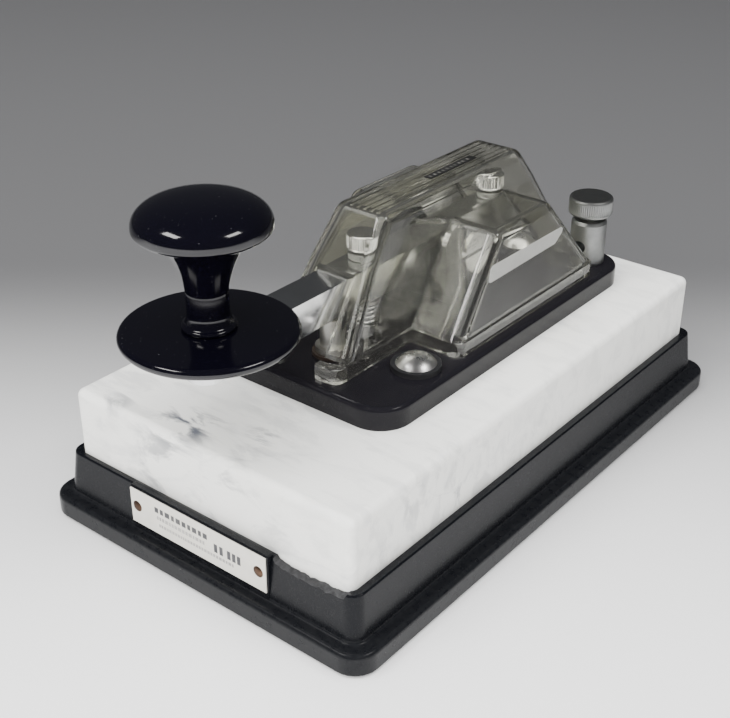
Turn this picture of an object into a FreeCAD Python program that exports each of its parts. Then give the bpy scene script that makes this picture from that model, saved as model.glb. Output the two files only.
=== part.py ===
import FreeCAD, Part
import math
import os

# A straight telegraph key on a marble block, held in a moulded tray.
# Millimetres. +Z is up and the lever lies along Y, with its knob at -Y and its terminals at +Y.
# The pieces are drawn about the tray's centre, with z = 0 at the tray's underside, and are saved
# in a frame whose origin is the middle of the whole object's footprint, at the soles of the feet.

Vector = FreeCAD.Vector
UP = Vector(0, 0, 1)
ACROSS = Vector(1, 0, 0)
ALONG = Vector(0, 1, 0)

# Tray: a flange, a tapered wall and a pad for the nameplate.
FLANGE_WIDTH = 105.0
FLANGE_LENGTH = 171.0
FLANGE_TOP_Z = 5.8
FLANGE_CORNER_R = 6.5
WALL_TOP_HALF_X = 47.5
WALL_TOP_HALF_Y = 80.75
WALL_TOP_Z = 18.0
WALL_FOOT_SPREAD = 1.05
WALL_CORNER_R = 3.5
TRAY_FLOOR_Z = 6.0
PAD_HALF_X = 23.0
PAD_FRONT_Y = -82.1
PAD_TOP_Z = 18.6
PLATE_HALF_X = 22.6
PLATE_BOTTOM_Z = 8.2
PLATE_TOP_Z = 18.1
PLATE_THICKNESS = 0.4
RIVET_X = 20.3
RIVET_Z = 13.4
RIVET_SHANK_R = 0.8
RIVET_LENGTH = 2.5
RIVET_HEAD_H = 0.5
RIVET_BALL_R = 2.5
FOOT_X = 42.0
FOOT_Y = 74.0
FOOT_R = 6.0
FOOT_STAND = 0.6
FOOT_RECESS = 1.2

# Where the tray's front lip is broken away, right of the pad.
CHIP_START_X = 23.5
CHIP_END_X = 44.8
CHIP_OUTER_Z = 15.4
CHIP_INNER_START_Z = 16.4
CHIP_INNER_END_Z = 17.4

# Marble block.
MARBLE_HALF_X = 45.0
MARBLE_HALF_Y = 78.8
MARBLE_TOP_Z = 36.1
MARBLE_EDGE_R = 2.0
MARBLE_GAP = 0.2

# Sub-base plate.
SUB_HALF_X = 30.4
SUB_FRONT_Y = -48.25
SUB_REAR_Y = 66.5
SUB_TOP_Z = 42.1
SUB_CORNER_R = 9.0
SUB_EDGE_R = 1.3
CHANNEL_TOP_Z = 40.1

# Bolts through the sub-base, the marble and the tray.
BOLT_PLACES = [(-21.3, -24.8), (21.3, -24.8), (0.0, 53.5)]
BOLT_R = 2.5
BOLT_HEAD_R = 5.25
BOLT_HEAD_H = 2.6
SEAT_R = 6.4
SEAT_THICKNESS = 1.4
NUT_RECESS_R = 6.0
NUT_RECESS_Z = 4.2
NUT_BOTTOM_Z = 0.3
NUT_CORNER_R = 4.6
WASHER_THICKNESS = 0.8
WASHER_R = 5.3

# Lever, pivot and knob.
LEVER_HALF_X = 4.75
LEVER_BOTTOM_Z = 54.6
LEVER_TOP_Z = 63.7
LEVER_FRONT_Y = -80.0
LEVER_REAR_Y = 43.0
LEVER_CHAMFER = 0.3
PIVOT_Y = 12.0
PIVOT_Z = 58.6
SHAFT_R = 2.0
SHAFT_HALF_X = 11.8
KNOB_Y = -73.5
SKIRT_R = 20.5
SKIRT_THICKNESS = 2.5
KNOB_CAP_R = 15.4
KNOB_EQUATOR_Z = 90.5
KNOB_TOP_Z = 97.2
KNOB_UNDER_DEPTH = 3.6
KNOB_FOOT_R = 6.3
KNOB_RING_H = 1.3
KNOB_CAP_START_R = 11.0
# Radius of the knob's stem at heights above its foot.
KNOB_STEM = [(5.4, 2.1), (4.9, 3.4), (4.75, 5.4), (4.97, 8.7), (5.7, 12.4), (6.85, 16.0), (8.6, 19.4)]
STUD_R = 2.5
STUD_TOP_Z = 84.0

# Pivot frame and its two ball bearings.
CHEEK_INNER_X = 8.2
CHEEK_OUTER_X = 12.7
CHEEK_R = 6.2
FRAME_HALF_X = 15.0
FRAME_HALF_Y = 10.0
FRAME_BASE_TOP_Z = 46.1
FRAME_SCREW_OFFSET_Y = 6.5
FRAME_SCREW_R = 1.5
FRAME_SCREW_HEAD_R = 2.8
FRAME_SCREW_HEAD_H = 1.9
BEARING_INNER_X = 8.8
BEARING_OUTER_X = 12.0
BEARING_OUTER_R = 4.8
RACE_OUTER_R = 3.9
RACE_INNER_R = 3.1
BALL_CIRCLE_R = 3.5
BALL_R = 0.78
GROOVE_R = 0.82
BALLS_PER_BEARING = 8
RACE_SIDE_GAP = 0.1
SPACER_WALL = 0.9
SHOULDER_R = 3.6
CAP_R = 5.8
CAP_THICKNESS = 1.5
CAP_SLOT_DEPTH = 0.6
CAP_SLOT_HALF_WIDTH = 0.5

# Contacts, spring and rear stop.
CONTACT_Y = -32.0
CONTACT_GAP = 0.5
CONTACT_BUTTON_H = 0.6
CONTACT_R = 1.9
CONTACT_SHANK_R = 1.0
CONTACT_SHANK_H = 2.5
CONTACT_TIP_H = 1.2
CONTACT_POST_R = 3.0
CONTACT_FOOT_R = 4.2
CONTACT_FOOT_H = 1.5
INSULATOR_R = 5.0
INSULATOR_H = 1.0
PEG_R = 1.5
PEG_DEPTH = 1.5
SPRING_Y = -19.2
SPRING_COIL_R = 2.8
SPRING_WIRE_R = 0.4
SPRING_TURNS = 5.5
SPRING_CUP_R = 4.3
SPRING_CUP_TOP_Z = 46.6
SPRING_CUP_FLOOR = 1.2
SPRING_CUP_BORE_R = 3.4
SPRING_CLEARANCE = 0.05
SPRING_SEAT_Z = 52.2
SPRING_SEAT_TOP_Z = 53.4
SPRING_SEAT_R = 3.6
SPRING_SEAT_RIM_H = 0.6
SPRING_SEAT_TOP_R = 2.4
STOP_Y = 36.0
STOP_TOP_Z = 50.25
STOP_R = 3.5

# Adjusting screws through the lever, M4, with their lock nuts.
ADJUST_R = 2.0
RUNNING_GAP = 0.05
LOCK_NUT_TOP_Z = 65.6
LOCK_NUT_R = 3.6
ADJUST_HEAD_BOTTOM_Z = 66.4
ADJUST_HEAD_TOP_Z = 70.6
ADJUST_HEAD_R = 3.9
ADJUST_HEAD_BEVEL = 0.5
ADJUST_CROWN = 0.6

# Terminals, with M5 clamp screws.
TERMINAL_X = 21.3
TERMINAL_Y = 58.2
POST_R = 5.1
POST_TOP_Z = 55.2
POST_BEVEL_R = 0.5
POST_BEVEL_H = 0.9
WIRE_HOLE_R = 1.9
WIRE_HOLE_Z = 47.7
CLAMP_R = 2.5
CLAMP_TIP_Z = 50.75
CLAMP_BORE_Z = 48.9
CLAMP_HEAD_R = 6.25
CLAMP_HEAD_BOTTOM_Z = 56.7
CLAMP_HEAD_TOP_Z = 62.1
CLAMP_HEAD_BEVEL = 0.9
CLAMP_CROWN = 1.5

# Straps and nuts under the sub-base.
STRAP_HALF_WIDTH = 3.0
STRAP_THICKNESS = 0.8
CHANNEL_HALF_WIDTH = 4.6
STUD_M4_R = 2.0
STUD_BOTTOM_Z = 36.5
NUT_M4_R = 4.0
NUT_M4_H = 2.4

# Clear dust cover: a narrow tall spine over the lever, and a wide lower hood over the pivot.
COVER_BOTTOM_Z = SUB_TOP_Z + 0.1
COVER_WALL = 2.0
RIM_TOP_Z = 46.6
RIM_PROUD = 0.5
RIM_CORNER_R = 3.0
SPINE_TOP_Z = 77.8
SPINE_FOOT_HALF_X = 12.4
SPINE_TOP_HALF_X = 8.3
SPINE_FRONT = [(-44.8, 46.6), (-29.6, 66.0), (-22.2, 77.8)]
SPINE_REAR = [(62.5, 46.6), (54.4, 58.6), (49.4, 66.5), (40.6, 77.8)]
HOOD_TOP_Z = 69.2
HOOD_FOOT_HALF_X = 27.5
HOOD_TOP_HALF_X = 24.4
HOOD_FRONT = [(-15.0, 46.6), (5.5, 69.2)]
HOOD_REAR = [(50.6, 46.6), (31.5, 69.2)]
DOOR_HALF_X = 5.9
DOOR_TOP_Z = 64.0
DOOR_REAR_Y = -24.0
LABEL_X = (-0.4, 2.2)
LABEL_Y = (6.0, 27.0)
LABEL_THICKNESS = 0.15

FRAME_SHIFT = Vector(0, -(KNOB_Y - SKIRT_R + FLANGE_LENGTH / 2) / 2, FOOT_STAND)


def box(x0, x1, y0, y1, z0, z1):
    """Box between two corners."""
    return Part.makeBox(x1 - x0, y1 - y0, z1 - z0, Vector(x0, y0, z0))


def rod(x, y, z0, z1, radius):
    """Upright cylinder."""
    return Part.makeCylinder(radius, z1 - z0, Vector(x, y, z0), UP)


def cross_rod(x0, x1, radius):
    """Cylinder on the pivot's axis, from x0 to x1."""
    return Part.makeCylinder(radius, x1 - x0, Vector(x0, PIVOT_Y, PIVOT_Z), ACROSS)


def mirrored(shape):
    """The same shape on the other side of the lever."""
    return shape.mirror(Vector(0, 0, 0), ACROSS)


def fused(shapes):
    """One solid out of several that overlap or touch."""
    return shapes[0].fuse(shapes[1:]).removeSplitter()


def rounded_outline(half_x, y0, y1, z, radius):
    """Closed wire of a rectangle with round corners."""
    corners = [(half_x - radius, y0 + radius, 270), (half_x - radius, y1 - radius, 0),
               (radius - half_x, y1 - radius, 90), (radius - half_x, y0 + radius, 180)]
    arcs = []
    for x, y, start in corners:
        angles = [math.radians(start + turn) for turn in (0, 45, 90)]
        points = [Vector(x + radius * math.cos(a), y + radius * math.sin(a), z) for a in angles]
        arcs.append(Part.Arc(*points).toShape())
    edges = []
    for arc, following in zip(arcs, arcs[1:] + arcs[:1]):
        edges.append(arc)
        edges.append(Part.makeLine(arc.Vertexes[-1].Point, following.Vertexes[0].Point))
    return Part.Wire(edges)


def rounded_plate(half_x, y0, y1, z0, z1, radius):
    """Plate with round upright corners."""
    face = Part.Face(rounded_outline(half_x, y0, y1, z0, radius))
    return face.extrude(Vector(0, 0, z1 - z0))


def hexagon(x, y, z0, z1, corner_r):
    """Hexagonal prism, with its corner radius given."""
    points = [Vector(x + corner_r * math.cos(math.radians(60 * i)),
                     y + corner_r * math.sin(math.radians(60 * i)), z0) for i in range(7)]
    return Part.Face(Part.makePolygon(points)).extrude(Vector(0, 0, z1 - z0))


def turned(x, y, profile):
    """Solid of revolution about an upright axis. The profile is (radius, z) points from axis to axis."""
    points = [Vector(x + r, y, z) for r, z in profile]
    face = Part.Face(Part.makePolygon(points + points[:1]))
    return face.revolve(Vector(x, y, 0), UP, 360)


def knurled(x, y, z0, z1, radius, bevel, bore_r, bore_top_z):
    """Round head with bevelled rims, open below for its shank."""
    head = turned(x, y, [(0, z0), (radius - bevel, z0), (radius, z0 + bevel),
                         (radius, z1 - bevel), (radius - bevel, z1), (0, z1)])
    return head.cut(rod(x, y, z0, bore_top_z, bore_r))


def base_tray():
    """Moulded tray: flange, tapered wall, cavity, nameplate pad and the broken lip."""
    flange = rounded_plate(FLANGE_WIDTH / 2, -FLANGE_LENGTH / 2, FLANGE_LENGTH / 2,
                           0, FLANGE_TOP_Z, FLANGE_CORNER_R)
    foot_x = WALL_TOP_HALF_X + WALL_FOOT_SPREAD
    foot_y = WALL_TOP_HALF_Y + WALL_FOOT_SPREAD
    overlap = 0.5
    wall_foot = rounded_outline(foot_x, -foot_y, foot_y, FLANGE_TOP_Z - overlap, WALL_CORNER_R)
    wall_head = rounded_outline(WALL_TOP_HALF_X, -WALL_TOP_HALF_Y, WALL_TOP_HALF_Y,
                                WALL_TOP_Z, WALL_CORNER_R)
    wall = Part.makeLoft([wall_foot, wall_head], True, True)
    pad = box(-PAD_HALF_X, PAD_HALF_X, PAD_FRONT_Y, -WALL_TOP_HALF_Y + 1,
              FLANGE_TOP_Z - overlap, PAD_TOP_Z)
    tray = fused([flange, wall, pad])
    cavity_x = MARBLE_HALF_X + MARBLE_GAP
    cavity_y = MARBLE_HALF_Y + MARBLE_GAP
    tray = tray.cut(rounded_plate(cavity_x, -cavity_y, cavity_y, TRAY_FLOOR_Z,
                                  PAD_TOP_Z + 1, MARBLE_EDGE_R))
    for x in (-FOOT_X, FOOT_X):
        for y in (-FOOT_Y, FOOT_Y):
            tray = tray.cut(rod(x, y, 0, FOOT_RECESS, FOOT_R + 0.1))
    for x, y in BOLT_PLACES:
        tray = tray.cut(rod(x, y, 0, NUT_RECESS_Z, NUT_RECESS_R))
        tray = tray.cut(rod(x, y, 0, TRAY_FLOOR_Z, BOLT_R + 0.3))
    for x in (-RIVET_X, RIVET_X):
        hole = Part.makeCylinder(RIVET_SHANK_R, RIVET_LENGTH, Vector(x, PAD_FRONT_Y, RIVET_Z), ALONG)
        tray = tray.cut(hole)
    return tray.cut(lip_chip())


def lip_chip():
    """The wedge missing from the front lip."""
    outer_y = -WALL_TOP_HALF_Y - 2
    inner_y = -MARBLE_HALF_Y + 1
    wires = []
    for x, inner_z in ((CHIP_START_X, CHIP_INNER_START_Z), (CHIP_END_X, CHIP_INNER_END_Z)):
        points = [Vector(x, outer_y, CHIP_OUTER_Z), Vector(x, inner_y, inner_z),
                  Vector(x, inner_y, PAD_TOP_Z), Vector(x, outer_y, PAD_TOP_Z)]
        wires.append(Part.makePolygon(points + points[:1]))
    return Part.makeLoft(wires, True, True)


def rubber_feet():
    """Four discs let into the tray's underside."""
    feet = []
    for x in (-FOOT_X, FOOT_X):
        for y in (-FOOT_Y, FOOT_Y):
            feet.append(rod(x, y, -FOOT_STAND, FOOT_RECESS, FOOT_R))
    return Part.makeCompound(feet)


def marble_block():
    """Marble slab with its top and upright edges eased."""
    block = box(-MARBLE_HALF_X, MARBLE_HALF_X, -MARBLE_HALF_Y, MARBLE_HALF_Y,
                TRAY_FLOOR_Z, MARBLE_TOP_Z)
    low = TRAY_FLOOR_Z + 0.01
    edges = [e for e in block.Edges if e.BoundBox.ZMax > low]
    block = block.makeFillet(MARBLE_EDGE_R, edges)
    for x, y in BOLT_PLACES:
        block = block.cut(rod(x, y, 0, MARBLE_TOP_Z, BOLT_R + 0.5))
    return block


def nameplate():
    """Thin plate riveted to the pad."""
    plate = box(-PLATE_HALF_X, PLATE_HALF_X, PAD_FRONT_Y - PLATE_THICKNESS, PAD_FRONT_Y,
                PLATE_BOTTOM_Z, PLATE_TOP_Z)
    for x in (-RIVET_X, RIVET_X):
        start = Vector(x, PAD_FRONT_Y - PLATE_THICKNESS, RIVET_Z)
        plate = plate.cut(Part.makeCylinder(RIVET_SHANK_R, PLATE_THICKNESS, start, ALONG))
    return plate


def nameplate_rivets():
    """Two small round-headed rivets."""
    face_y = PAD_FRONT_Y - PLATE_THICKNESS
    rivets = []
    for x in (-RIVET_X, RIVET_X):
        shank = Part.makeCylinder(RIVET_SHANK_R, RIVET_LENGTH, Vector(x, face_y, RIVET_Z), ALONG)
        head = Part.makeSphere(RIVET_BALL_R, Vector(x, face_y + RIVET_BALL_R - RIVET_HEAD_H, RIVET_Z))
        head = head.common(box(x - 3, x + 3, face_y - 2, face_y, RIVET_Z - 3, RIVET_Z + 3))
        rivets.append(fused([shank, head]))
    return Part.makeCompound(rivets)


def strap_routes():
    """The two straps under the sub-base, from a terminal to where its current goes."""
    left = [(-TERMINAL_X, TERMINAL_Y), (0.0, PIVOT_Y + FRAME_SCREW_OFFSET_Y)]
    right = [(TERMINAL_X, TERMINAL_Y), (0.0, CONTACT_Y)]
    return left, right


def strip(route, half_width, z0, z1):
    """Flat strip with round ends between two places."""
    (ax, ay), (bx, by) = route
    run = Vector(bx - ax, by - ay, 0)
    side = Vector(-run.y, run.x, 0).normalize() * half_width
    start = Vector(ax, ay, z0)
    end = Vector(bx, by, z0)
    corners = [start + side, end + side, end - side, start - side]
    bar = Part.Face(Part.makePolygon(corners + corners[:1])).extrude(Vector(0, 0, z1 - z0))
    return fused([bar, rod(ax, ay, z0, z1, half_width), rod(bx, by, z0, z1, half_width)])


def sub_base():
    """Insulating plate that carries the works, with channels underneath for the straps."""
    plate = rounded_plate(SUB_HALF_X, SUB_FRONT_Y, SUB_REAR_Y, MARBLE_TOP_Z, SUB_TOP_Z, SUB_CORNER_R)
    rim = [e for e in plate.Edges if e.BoundBox.ZMin > SUB_TOP_Z - 0.01]
    plate = plate.makeFillet(SUB_EDGE_R, rim)
    for route in strap_routes():
        plate = plate.cut(strip(route, CHANNEL_HALF_WIDTH, MARBLE_TOP_Z, CHANNEL_TOP_Z))
    for x, y in BOLT_PLACES:
        plate = plate.cut(rod(x, y, MARBLE_TOP_Z, SUB_TOP_Z, BOLT_R + 0.2))
    for y in (PIVOT_Y - FRAME_SCREW_OFFSET_Y, PIVOT_Y + FRAME_SCREW_OFFSET_Y):
        plate = plate.cut(rod(0, y, MARBLE_TOP_Z, SUB_TOP_Z, FRAME_SCREW_R + 0.2))
        plate = plate.cut(rod(0, y, MARBLE_TOP_Z, CHANNEL_TOP_Z, CHANNEL_HALF_WIDTH))
    for x in (-TERMINAL_X, TERMINAL_X):
        plate = plate.cut(rod(x, TERMINAL_Y, MARBLE_TOP_Z, SUB_TOP_Z, STUD_M4_R + 0.1))
    plate = plate.cut(rod(0, CONTACT_Y, MARBLE_TOP_Z, SUB_TOP_Z, STUD_M4_R + 0.1))
    for y in (SPRING_Y, STOP_Y):
        plate = plate.cut(rod(0, y, SUB_TOP_Z - PEG_DEPTH, SUB_TOP_Z, PEG_R))
    return plate


def base_bolts():
    """Dome-headed bolts, their heads on the seat washers."""
    head_z = SUB_TOP_Z + SEAT_THICKNESS
    ball_r = (BOLT_HEAD_R ** 2 + BOLT_HEAD_H ** 2) / (2 * BOLT_HEAD_H)
    bolts = []
    for x, y in BOLT_PLACES:
        dome = Part.makeSphere(ball_r, Vector(x, y, head_z + BOLT_HEAD_H - ball_r))
        dome = dome.common(rod(x, y, head_z, head_z + 2 * BOLT_HEAD_H, BOLT_HEAD_R + 1))
        bolts.append(fused([dome, rod(x, y, NUT_BOTTOM_Z, head_z, BOLT_R)]))
    return Part.makeCompound(bolts)


def bolt_seat_washers():
    """Black washers between the bolt heads and the sub-base."""
    rings = []
    for x, y in BOLT_PLACES:
        ring = rod(x, y, SUB_TOP_Z, SUB_TOP_Z + SEAT_THICKNESS, SEAT_R)
        rings.append(ring.cut(rod(x, y, 0, MARBLE_TOP_Z * 2, BOLT_R)))
    return Part.makeCompound(rings)


def base_bolt_washers():
    """Steel washers in the tray's recesses."""
    rings = []
    for x, y in BOLT_PLACES:
        ring = rod(x, y, NUT_RECESS_Z - WASHER_THICKNESS, NUT_RECESS_Z, WASHER_R)
        rings.append(ring.cut(rod(x, y, 0, NUT_RECESS_Z, BOLT_R)))
    return Part.makeCompound(rings)


def base_bolt_nuts():
    """Hexagon nuts on the bolts, under the tray."""
    nuts = []
    for x, y in BOLT_PLACES:
        nut = hexagon(x, y, NUT_BOTTOM_Z, NUT_RECESS_Z - WASHER_THICKNESS, NUT_CORNER_R)
        nuts.append(nut.cut(rod(x, y, 0, NUT_RECESS_Z, BOLT_R)))
    return Part.makeCompound(nuts)


def cheek(x0, x1):
    """One upright of the pivot frame, with a round top about the pivot."""
    post = box(x0, x1, PIVOT_Y - CHEEK_R, PIVOT_Y + CHEEK_R, SUB_TOP_Z, PIVOT_Z)
    return fused([post, cross_rod(x0, x1, CHEEK_R)])


def pivot_frame():
    """U-shaped frame that holds the two bearings."""
    base = box(-FRAME_HALF_X, FRAME_HALF_X, PIVOT_Y - FRAME_HALF_Y, PIVOT_Y + FRAME_HALF_Y,
               SUB_TOP_Z, FRAME_BASE_TOP_Z)
    right = cheek(CHEEK_INNER_X, CHEEK_OUTER_X)
    frame = fused([base, right, mirrored(right)])
    seat = cross_rod(BEARING_INNER_X, CHEEK_OUTER_X, BEARING_OUTER_R)
    shoulder = cross_rod(CHEEK_INNER_X, CHEEK_OUTER_X, SHOULDER_R)
    for hole in (seat, shoulder, mirrored(seat), mirrored(shoulder)):
        frame = frame.cut(hole)
    for y in (PIVOT_Y - FRAME_SCREW_OFFSET_Y, PIVOT_Y + FRAME_SCREW_OFFSET_Y):
        frame = frame.cut(rod(0, y, SUB_TOP_Z, FRAME_BASE_TOP_Z - 0.8, FRAME_SCREW_R))
    return frame


def pivot_frame_screws():
    """Two screws up through the sub-base into the pivot frame."""
    head_top = CHANNEL_TOP_Z - STRAP_THICKNESS
    screws = []
    for y in (PIVOT_Y - FRAME_SCREW_OFFSET_Y, PIVOT_Y + FRAME_SCREW_OFFSET_Y):
        shank = rod(0, y, head_top, FRAME_BASE_TOP_Z - 1.2, FRAME_SCREW_R)
        head = rod(0, y, head_top - FRAME_SCREW_HEAD_H, head_top, FRAME_SCREW_HEAD_R)
        screws.append(fused([shank, head]))
    return Part.makeCompound(screws)


def ball_groove():
    """Ring that the bearing balls run in."""
    centre = Vector((BEARING_INNER_X + BEARING_OUTER_X) / 2, PIVOT_Y, PIVOT_Z)
    return Part.makeTorus(BALL_CIRCLE_R, GROOVE_R, centre, ACROSS)


def bearing_outer_rings():
    """Outer races, seated in the frame."""
    ring = cross_rod(BEARING_INNER_X, BEARING_OUTER_X, BEARING_OUTER_R)
    ring = ring.cut(cross_rod(BEARING_INNER_X, BEARING_OUTER_X, RACE_OUTER_R))
    ring = ring.cut(ball_groove())
    return Part.makeCompound([ring, mirrored(ring)])


def bearing_inner_rings():
    """Inner races, on the pivot shaft."""
    start = BEARING_INNER_X + RACE_SIDE_GAP
    end = BEARING_OUTER_X - RACE_SIDE_GAP
    ring = cross_rod(start, end, RACE_INNER_R).cut(cross_rod(start, end, SHAFT_R))
    ring = ring.cut(ball_groove())
    return Part.makeCompound([ring, mirrored(ring)])


def bearing_balls():
    """Balls of both bearings."""
    middle_x = (BEARING_INNER_X + BEARING_OUTER_X) / 2
    balls = []
    for x in (-middle_x, middle_x):
        for i in range(BALLS_PER_BEARING):
            angle = 2 * math.pi * i / BALLS_PER_BEARING
            centre = Vector(x, PIVOT_Y + BALL_CIRCLE_R * math.cos(angle),
                            PIVOT_Z + BALL_CIRCLE_R * math.sin(angle))
            balls.append(Part.makeSphere(BALL_R, centre))
    return Part.makeCompound(balls)


def bearing_caps():
    """Caps that close the bearings, each with a spigot against the outer race."""
    spigot = cross_rod(BEARING_OUTER_X, CHEEK_OUTER_X, BEARING_OUTER_R)
    spigot = spigot.cut(cross_rod(BEARING_OUTER_X, CHEEK_OUTER_X, RACE_OUTER_R))
    disc = cross_rod(CHEEK_OUTER_X, CHEEK_OUTER_X + CAP_THICKNESS, CAP_R)
    face_x = CHEEK_OUTER_X + CAP_THICKNESS
    slot = box(face_x - CAP_SLOT_DEPTH, face_x, PIVOT_Y - CAP_R, PIVOT_Y + CAP_R,
               PIVOT_Z - CAP_SLOT_HALF_WIDTH, PIVOT_Z + CAP_SLOT_HALF_WIDTH)
    cap = fused([spigot, disc]).cut(slot)
    return Part.makeCompound([cap, mirrored(cap)])


def lever():
    """Plated bar with a round front end and its bores."""
    bar = box(-LEVER_HALF_X, LEVER_HALF_X, LEVER_FRONT_Y + LEVER_HALF_X, LEVER_REAR_Y,
              LEVER_BOTTOM_Z, LEVER_TOP_Z)
    long_edges = [e for e in bar.Edges if e.BoundBox.YLength > 50 and e.BoundBox.ZMin > LEVER_TOP_Z - 0.1]
    nose = rod(0, LEVER_FRONT_Y + LEVER_HALF_X, LEVER_BOTTOM_Z, LEVER_TOP_Z, LEVER_HALF_X)
    bar = fused([bar.makeChamfer(LEVER_CHAMFER, long_edges), nose])
    bar = bar.cut(cross_rod(-LEVER_HALF_X, LEVER_HALF_X, SHAFT_R))
    bar = bar.cut(rod(0, KNOB_Y, LEVER_BOTTOM_Z, LEVER_TOP_Z, STUD_R))
    for y in (SPRING_Y, STOP_Y):
        bar = bar.cut(rod(0, y, LEVER_BOTTOM_Z, LEVER_TOP_Z, ADJUST_R + RUNNING_GAP))
    return bar.cut(contact_shank())


def contact_shank():
    """Shank of the lever's contact."""
    return rod(0, CONTACT_Y, LEVER_BOTTOM_Z, LEVER_BOTTOM_Z + CONTACT_SHANK_H, CONTACT_SHANK_R)


def pivot_shaft():
    """Shaft across the lever."""
    return cross_rod(-SHAFT_HALF_X, SHAFT_HALF_X, SHAFT_R)


def pivot_spacers():
    """Sleeves between the lever and the inner races."""
    start = LEVER_HALF_X
    end = BEARING_INNER_X + RACE_SIDE_GAP
    sleeve = cross_rod(start, end, SHAFT_R + SPACER_WALL).cut(cross_rod(start, end, SHAFT_R))
    return Part.makeCompound([sleeve, mirrored(sleeve)])


def upper_contact():
    """Silver button riveted under the lever."""
    button = rod(0, CONTACT_Y, LEVER_BOTTOM_Z - CONTACT_BUTTON_H, LEVER_BOTTOM_Z, CONTACT_R)
    return fused([button, contact_shank()])


def knob_skirt():
    """Round finger guard on the lever, with a full rim."""
    rim_r = SKIRT_THICKNESS * 0.48
    disc = rod(0, KNOB_Y, LEVER_TOP_Z, LEVER_TOP_Z + SKIRT_THICKNESS, SKIRT_R)
    edges = [e for e in disc.Edges if e.BoundBox.XLength > SKIRT_R and e.BoundBox.ZLength < 0.1]
    disc = disc.makeFillet(rim_r, edges)
    return disc.cut(rod(0, KNOB_Y, LEVER_TOP_Z, LEVER_TOP_Z + SKIRT_THICKNESS, STUD_R))


def knob_point(radius, z):
    """Point of the knob's outline."""
    return Vector(radius, KNOB_Y, z)


def cap_curve(height, end_radius):
    """Quarter or less of an ellipse, from the cap's equator to where it is as wide as end_radius."""
    steps = 6
    last = math.acos(end_radius / KNOB_CAP_R)
    turns = [last * i / steps for i in range(steps + 1)]
    points = [knob_point(KNOB_CAP_R * math.cos(t), KNOB_EQUATOR_Z + height * math.sin(t)) for t in turns]
    start = UP * height
    end = Vector(-KNOB_CAP_R * math.sin(last), 0, height * math.cos(last))
    curve = Part.BSplineCurve()
    curve.interpolate(Points=points, InitialTangent=start, FinalTangent=end)
    return curve.toShape(), points[-1]


def knob():
    """Turned knob: a foot ring, a flaring stem and a domed cap."""
    foot_z = LEVER_TOP_Z + SKIRT_THICKNESS
    stem = [knob_point(radius, foot_z + height) for radius, height in KNOB_STEM]
    under, joint = cap_curve(-KNOB_UNDER_DEPTH, KNOB_CAP_START_R)
    curve = Part.BSplineCurve()
    curve.interpolate(stem + [joint])
    crown, top = cap_curve(KNOB_TOP_Z - KNOB_EQUATOR_Z, 0)
    corners = [knob_point(0, foot_z), knob_point(KNOB_FOOT_R, foot_z),
               knob_point(KNOB_FOOT_R, foot_z + KNOB_RING_H), stem[0]]
    edges = [Part.makeLine(p, q) for p, q in zip(corners, corners[1:])]
    edges += [curve.toShape(), under, crown, Part.makeLine(top, corners[0])]
    body = Part.Face(Part.Wire(edges)).revolve(Vector(0, KNOB_Y, 0), UP, 360)
    return body.cut(rod(0, KNOB_Y, foot_z, STUD_TOP_Z, STUD_R))


def knob_stud():
    """Stud that holds knob and skirt on the lever."""
    return rod(0, KNOB_Y, LEVER_BOTTOM_Z, STUD_TOP_Z, STUD_R)


def contact_insulator():
    """Washer under the lower contact."""
    ring = rod(0, CONTACT_Y, SUB_TOP_Z, SUB_TOP_Z + INSULATOR_H, INSULATOR_R)
    return ring.cut(rod(0, CONTACT_Y, SUB_TOP_Z, SUB_TOP_Z + INSULATOR_H, STUD_M4_R))


def lower_contact():
    """Contact post with its stud."""
    seat_z = SUB_TOP_Z + INSULATOR_H
    foot = rod(0, CONTACT_Y, seat_z, seat_z + CONTACT_FOOT_H, CONTACT_FOOT_R)
    post = rod(0, CONTACT_Y, seat_z, contact_tip_z() - CONTACT_TIP_H, CONTACT_POST_R)
    stud = rod(0, CONTACT_Y, STUD_BOTTOM_Z, seat_z, STUD_M4_R)
    return fused([foot, post, stud])


def contact_tip_z():
    """Top of the lower contact's tip at rest."""
    return LEVER_BOTTOM_Z - CONTACT_BUTTON_H - CONTACT_GAP


def lower_contact_tip():
    """Silver tip on the contact post."""
    return rod(0, CONTACT_Y, contact_tip_z() - CONTACT_TIP_H, contact_tip_z(), CONTACT_R)


def peg(y):
    """Peg that locates a fitting in the sub-base."""
    return rod(0, y, SUB_TOP_Z - PEG_DEPTH, SUB_TOP_Z, PEG_R)


def spring_cup():
    """Cup that the return spring stands in."""
    cup = rod(0, SPRING_Y, SUB_TOP_Z, SPRING_CUP_TOP_Z, SPRING_CUP_R)
    cup = cup.cut(rod(0, SPRING_Y, SUB_TOP_Z + SPRING_CUP_FLOOR, SPRING_CUP_TOP_Z, SPRING_CUP_BORE_R))
    return fused([cup, peg(SPRING_Y)])


def return_spring():
    """Compression spring from the cup to the seat under the lever."""
    bottom = SUB_TOP_Z + SPRING_CUP_FLOOR + SPRING_CLEARANCE + SPRING_WIRE_R
    top = SPRING_SEAT_Z - SPRING_WIRE_R - SPRING_CLEARANCE
    height = top - bottom
    helix = Part.makeHelix(height / SPRING_TURNS, height, SPRING_COIL_R)
    start = Vector(SPRING_COIL_R, 0, 0)
    section = Part.Wire(Part.makeCircle(SPRING_WIRE_R, start, ALONG))
    coil = Part.Wire(helix.Edges).makePipeShell([section], True, True)
    coil.translate(Vector(0, SPRING_Y, bottom))
    return coil


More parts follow.
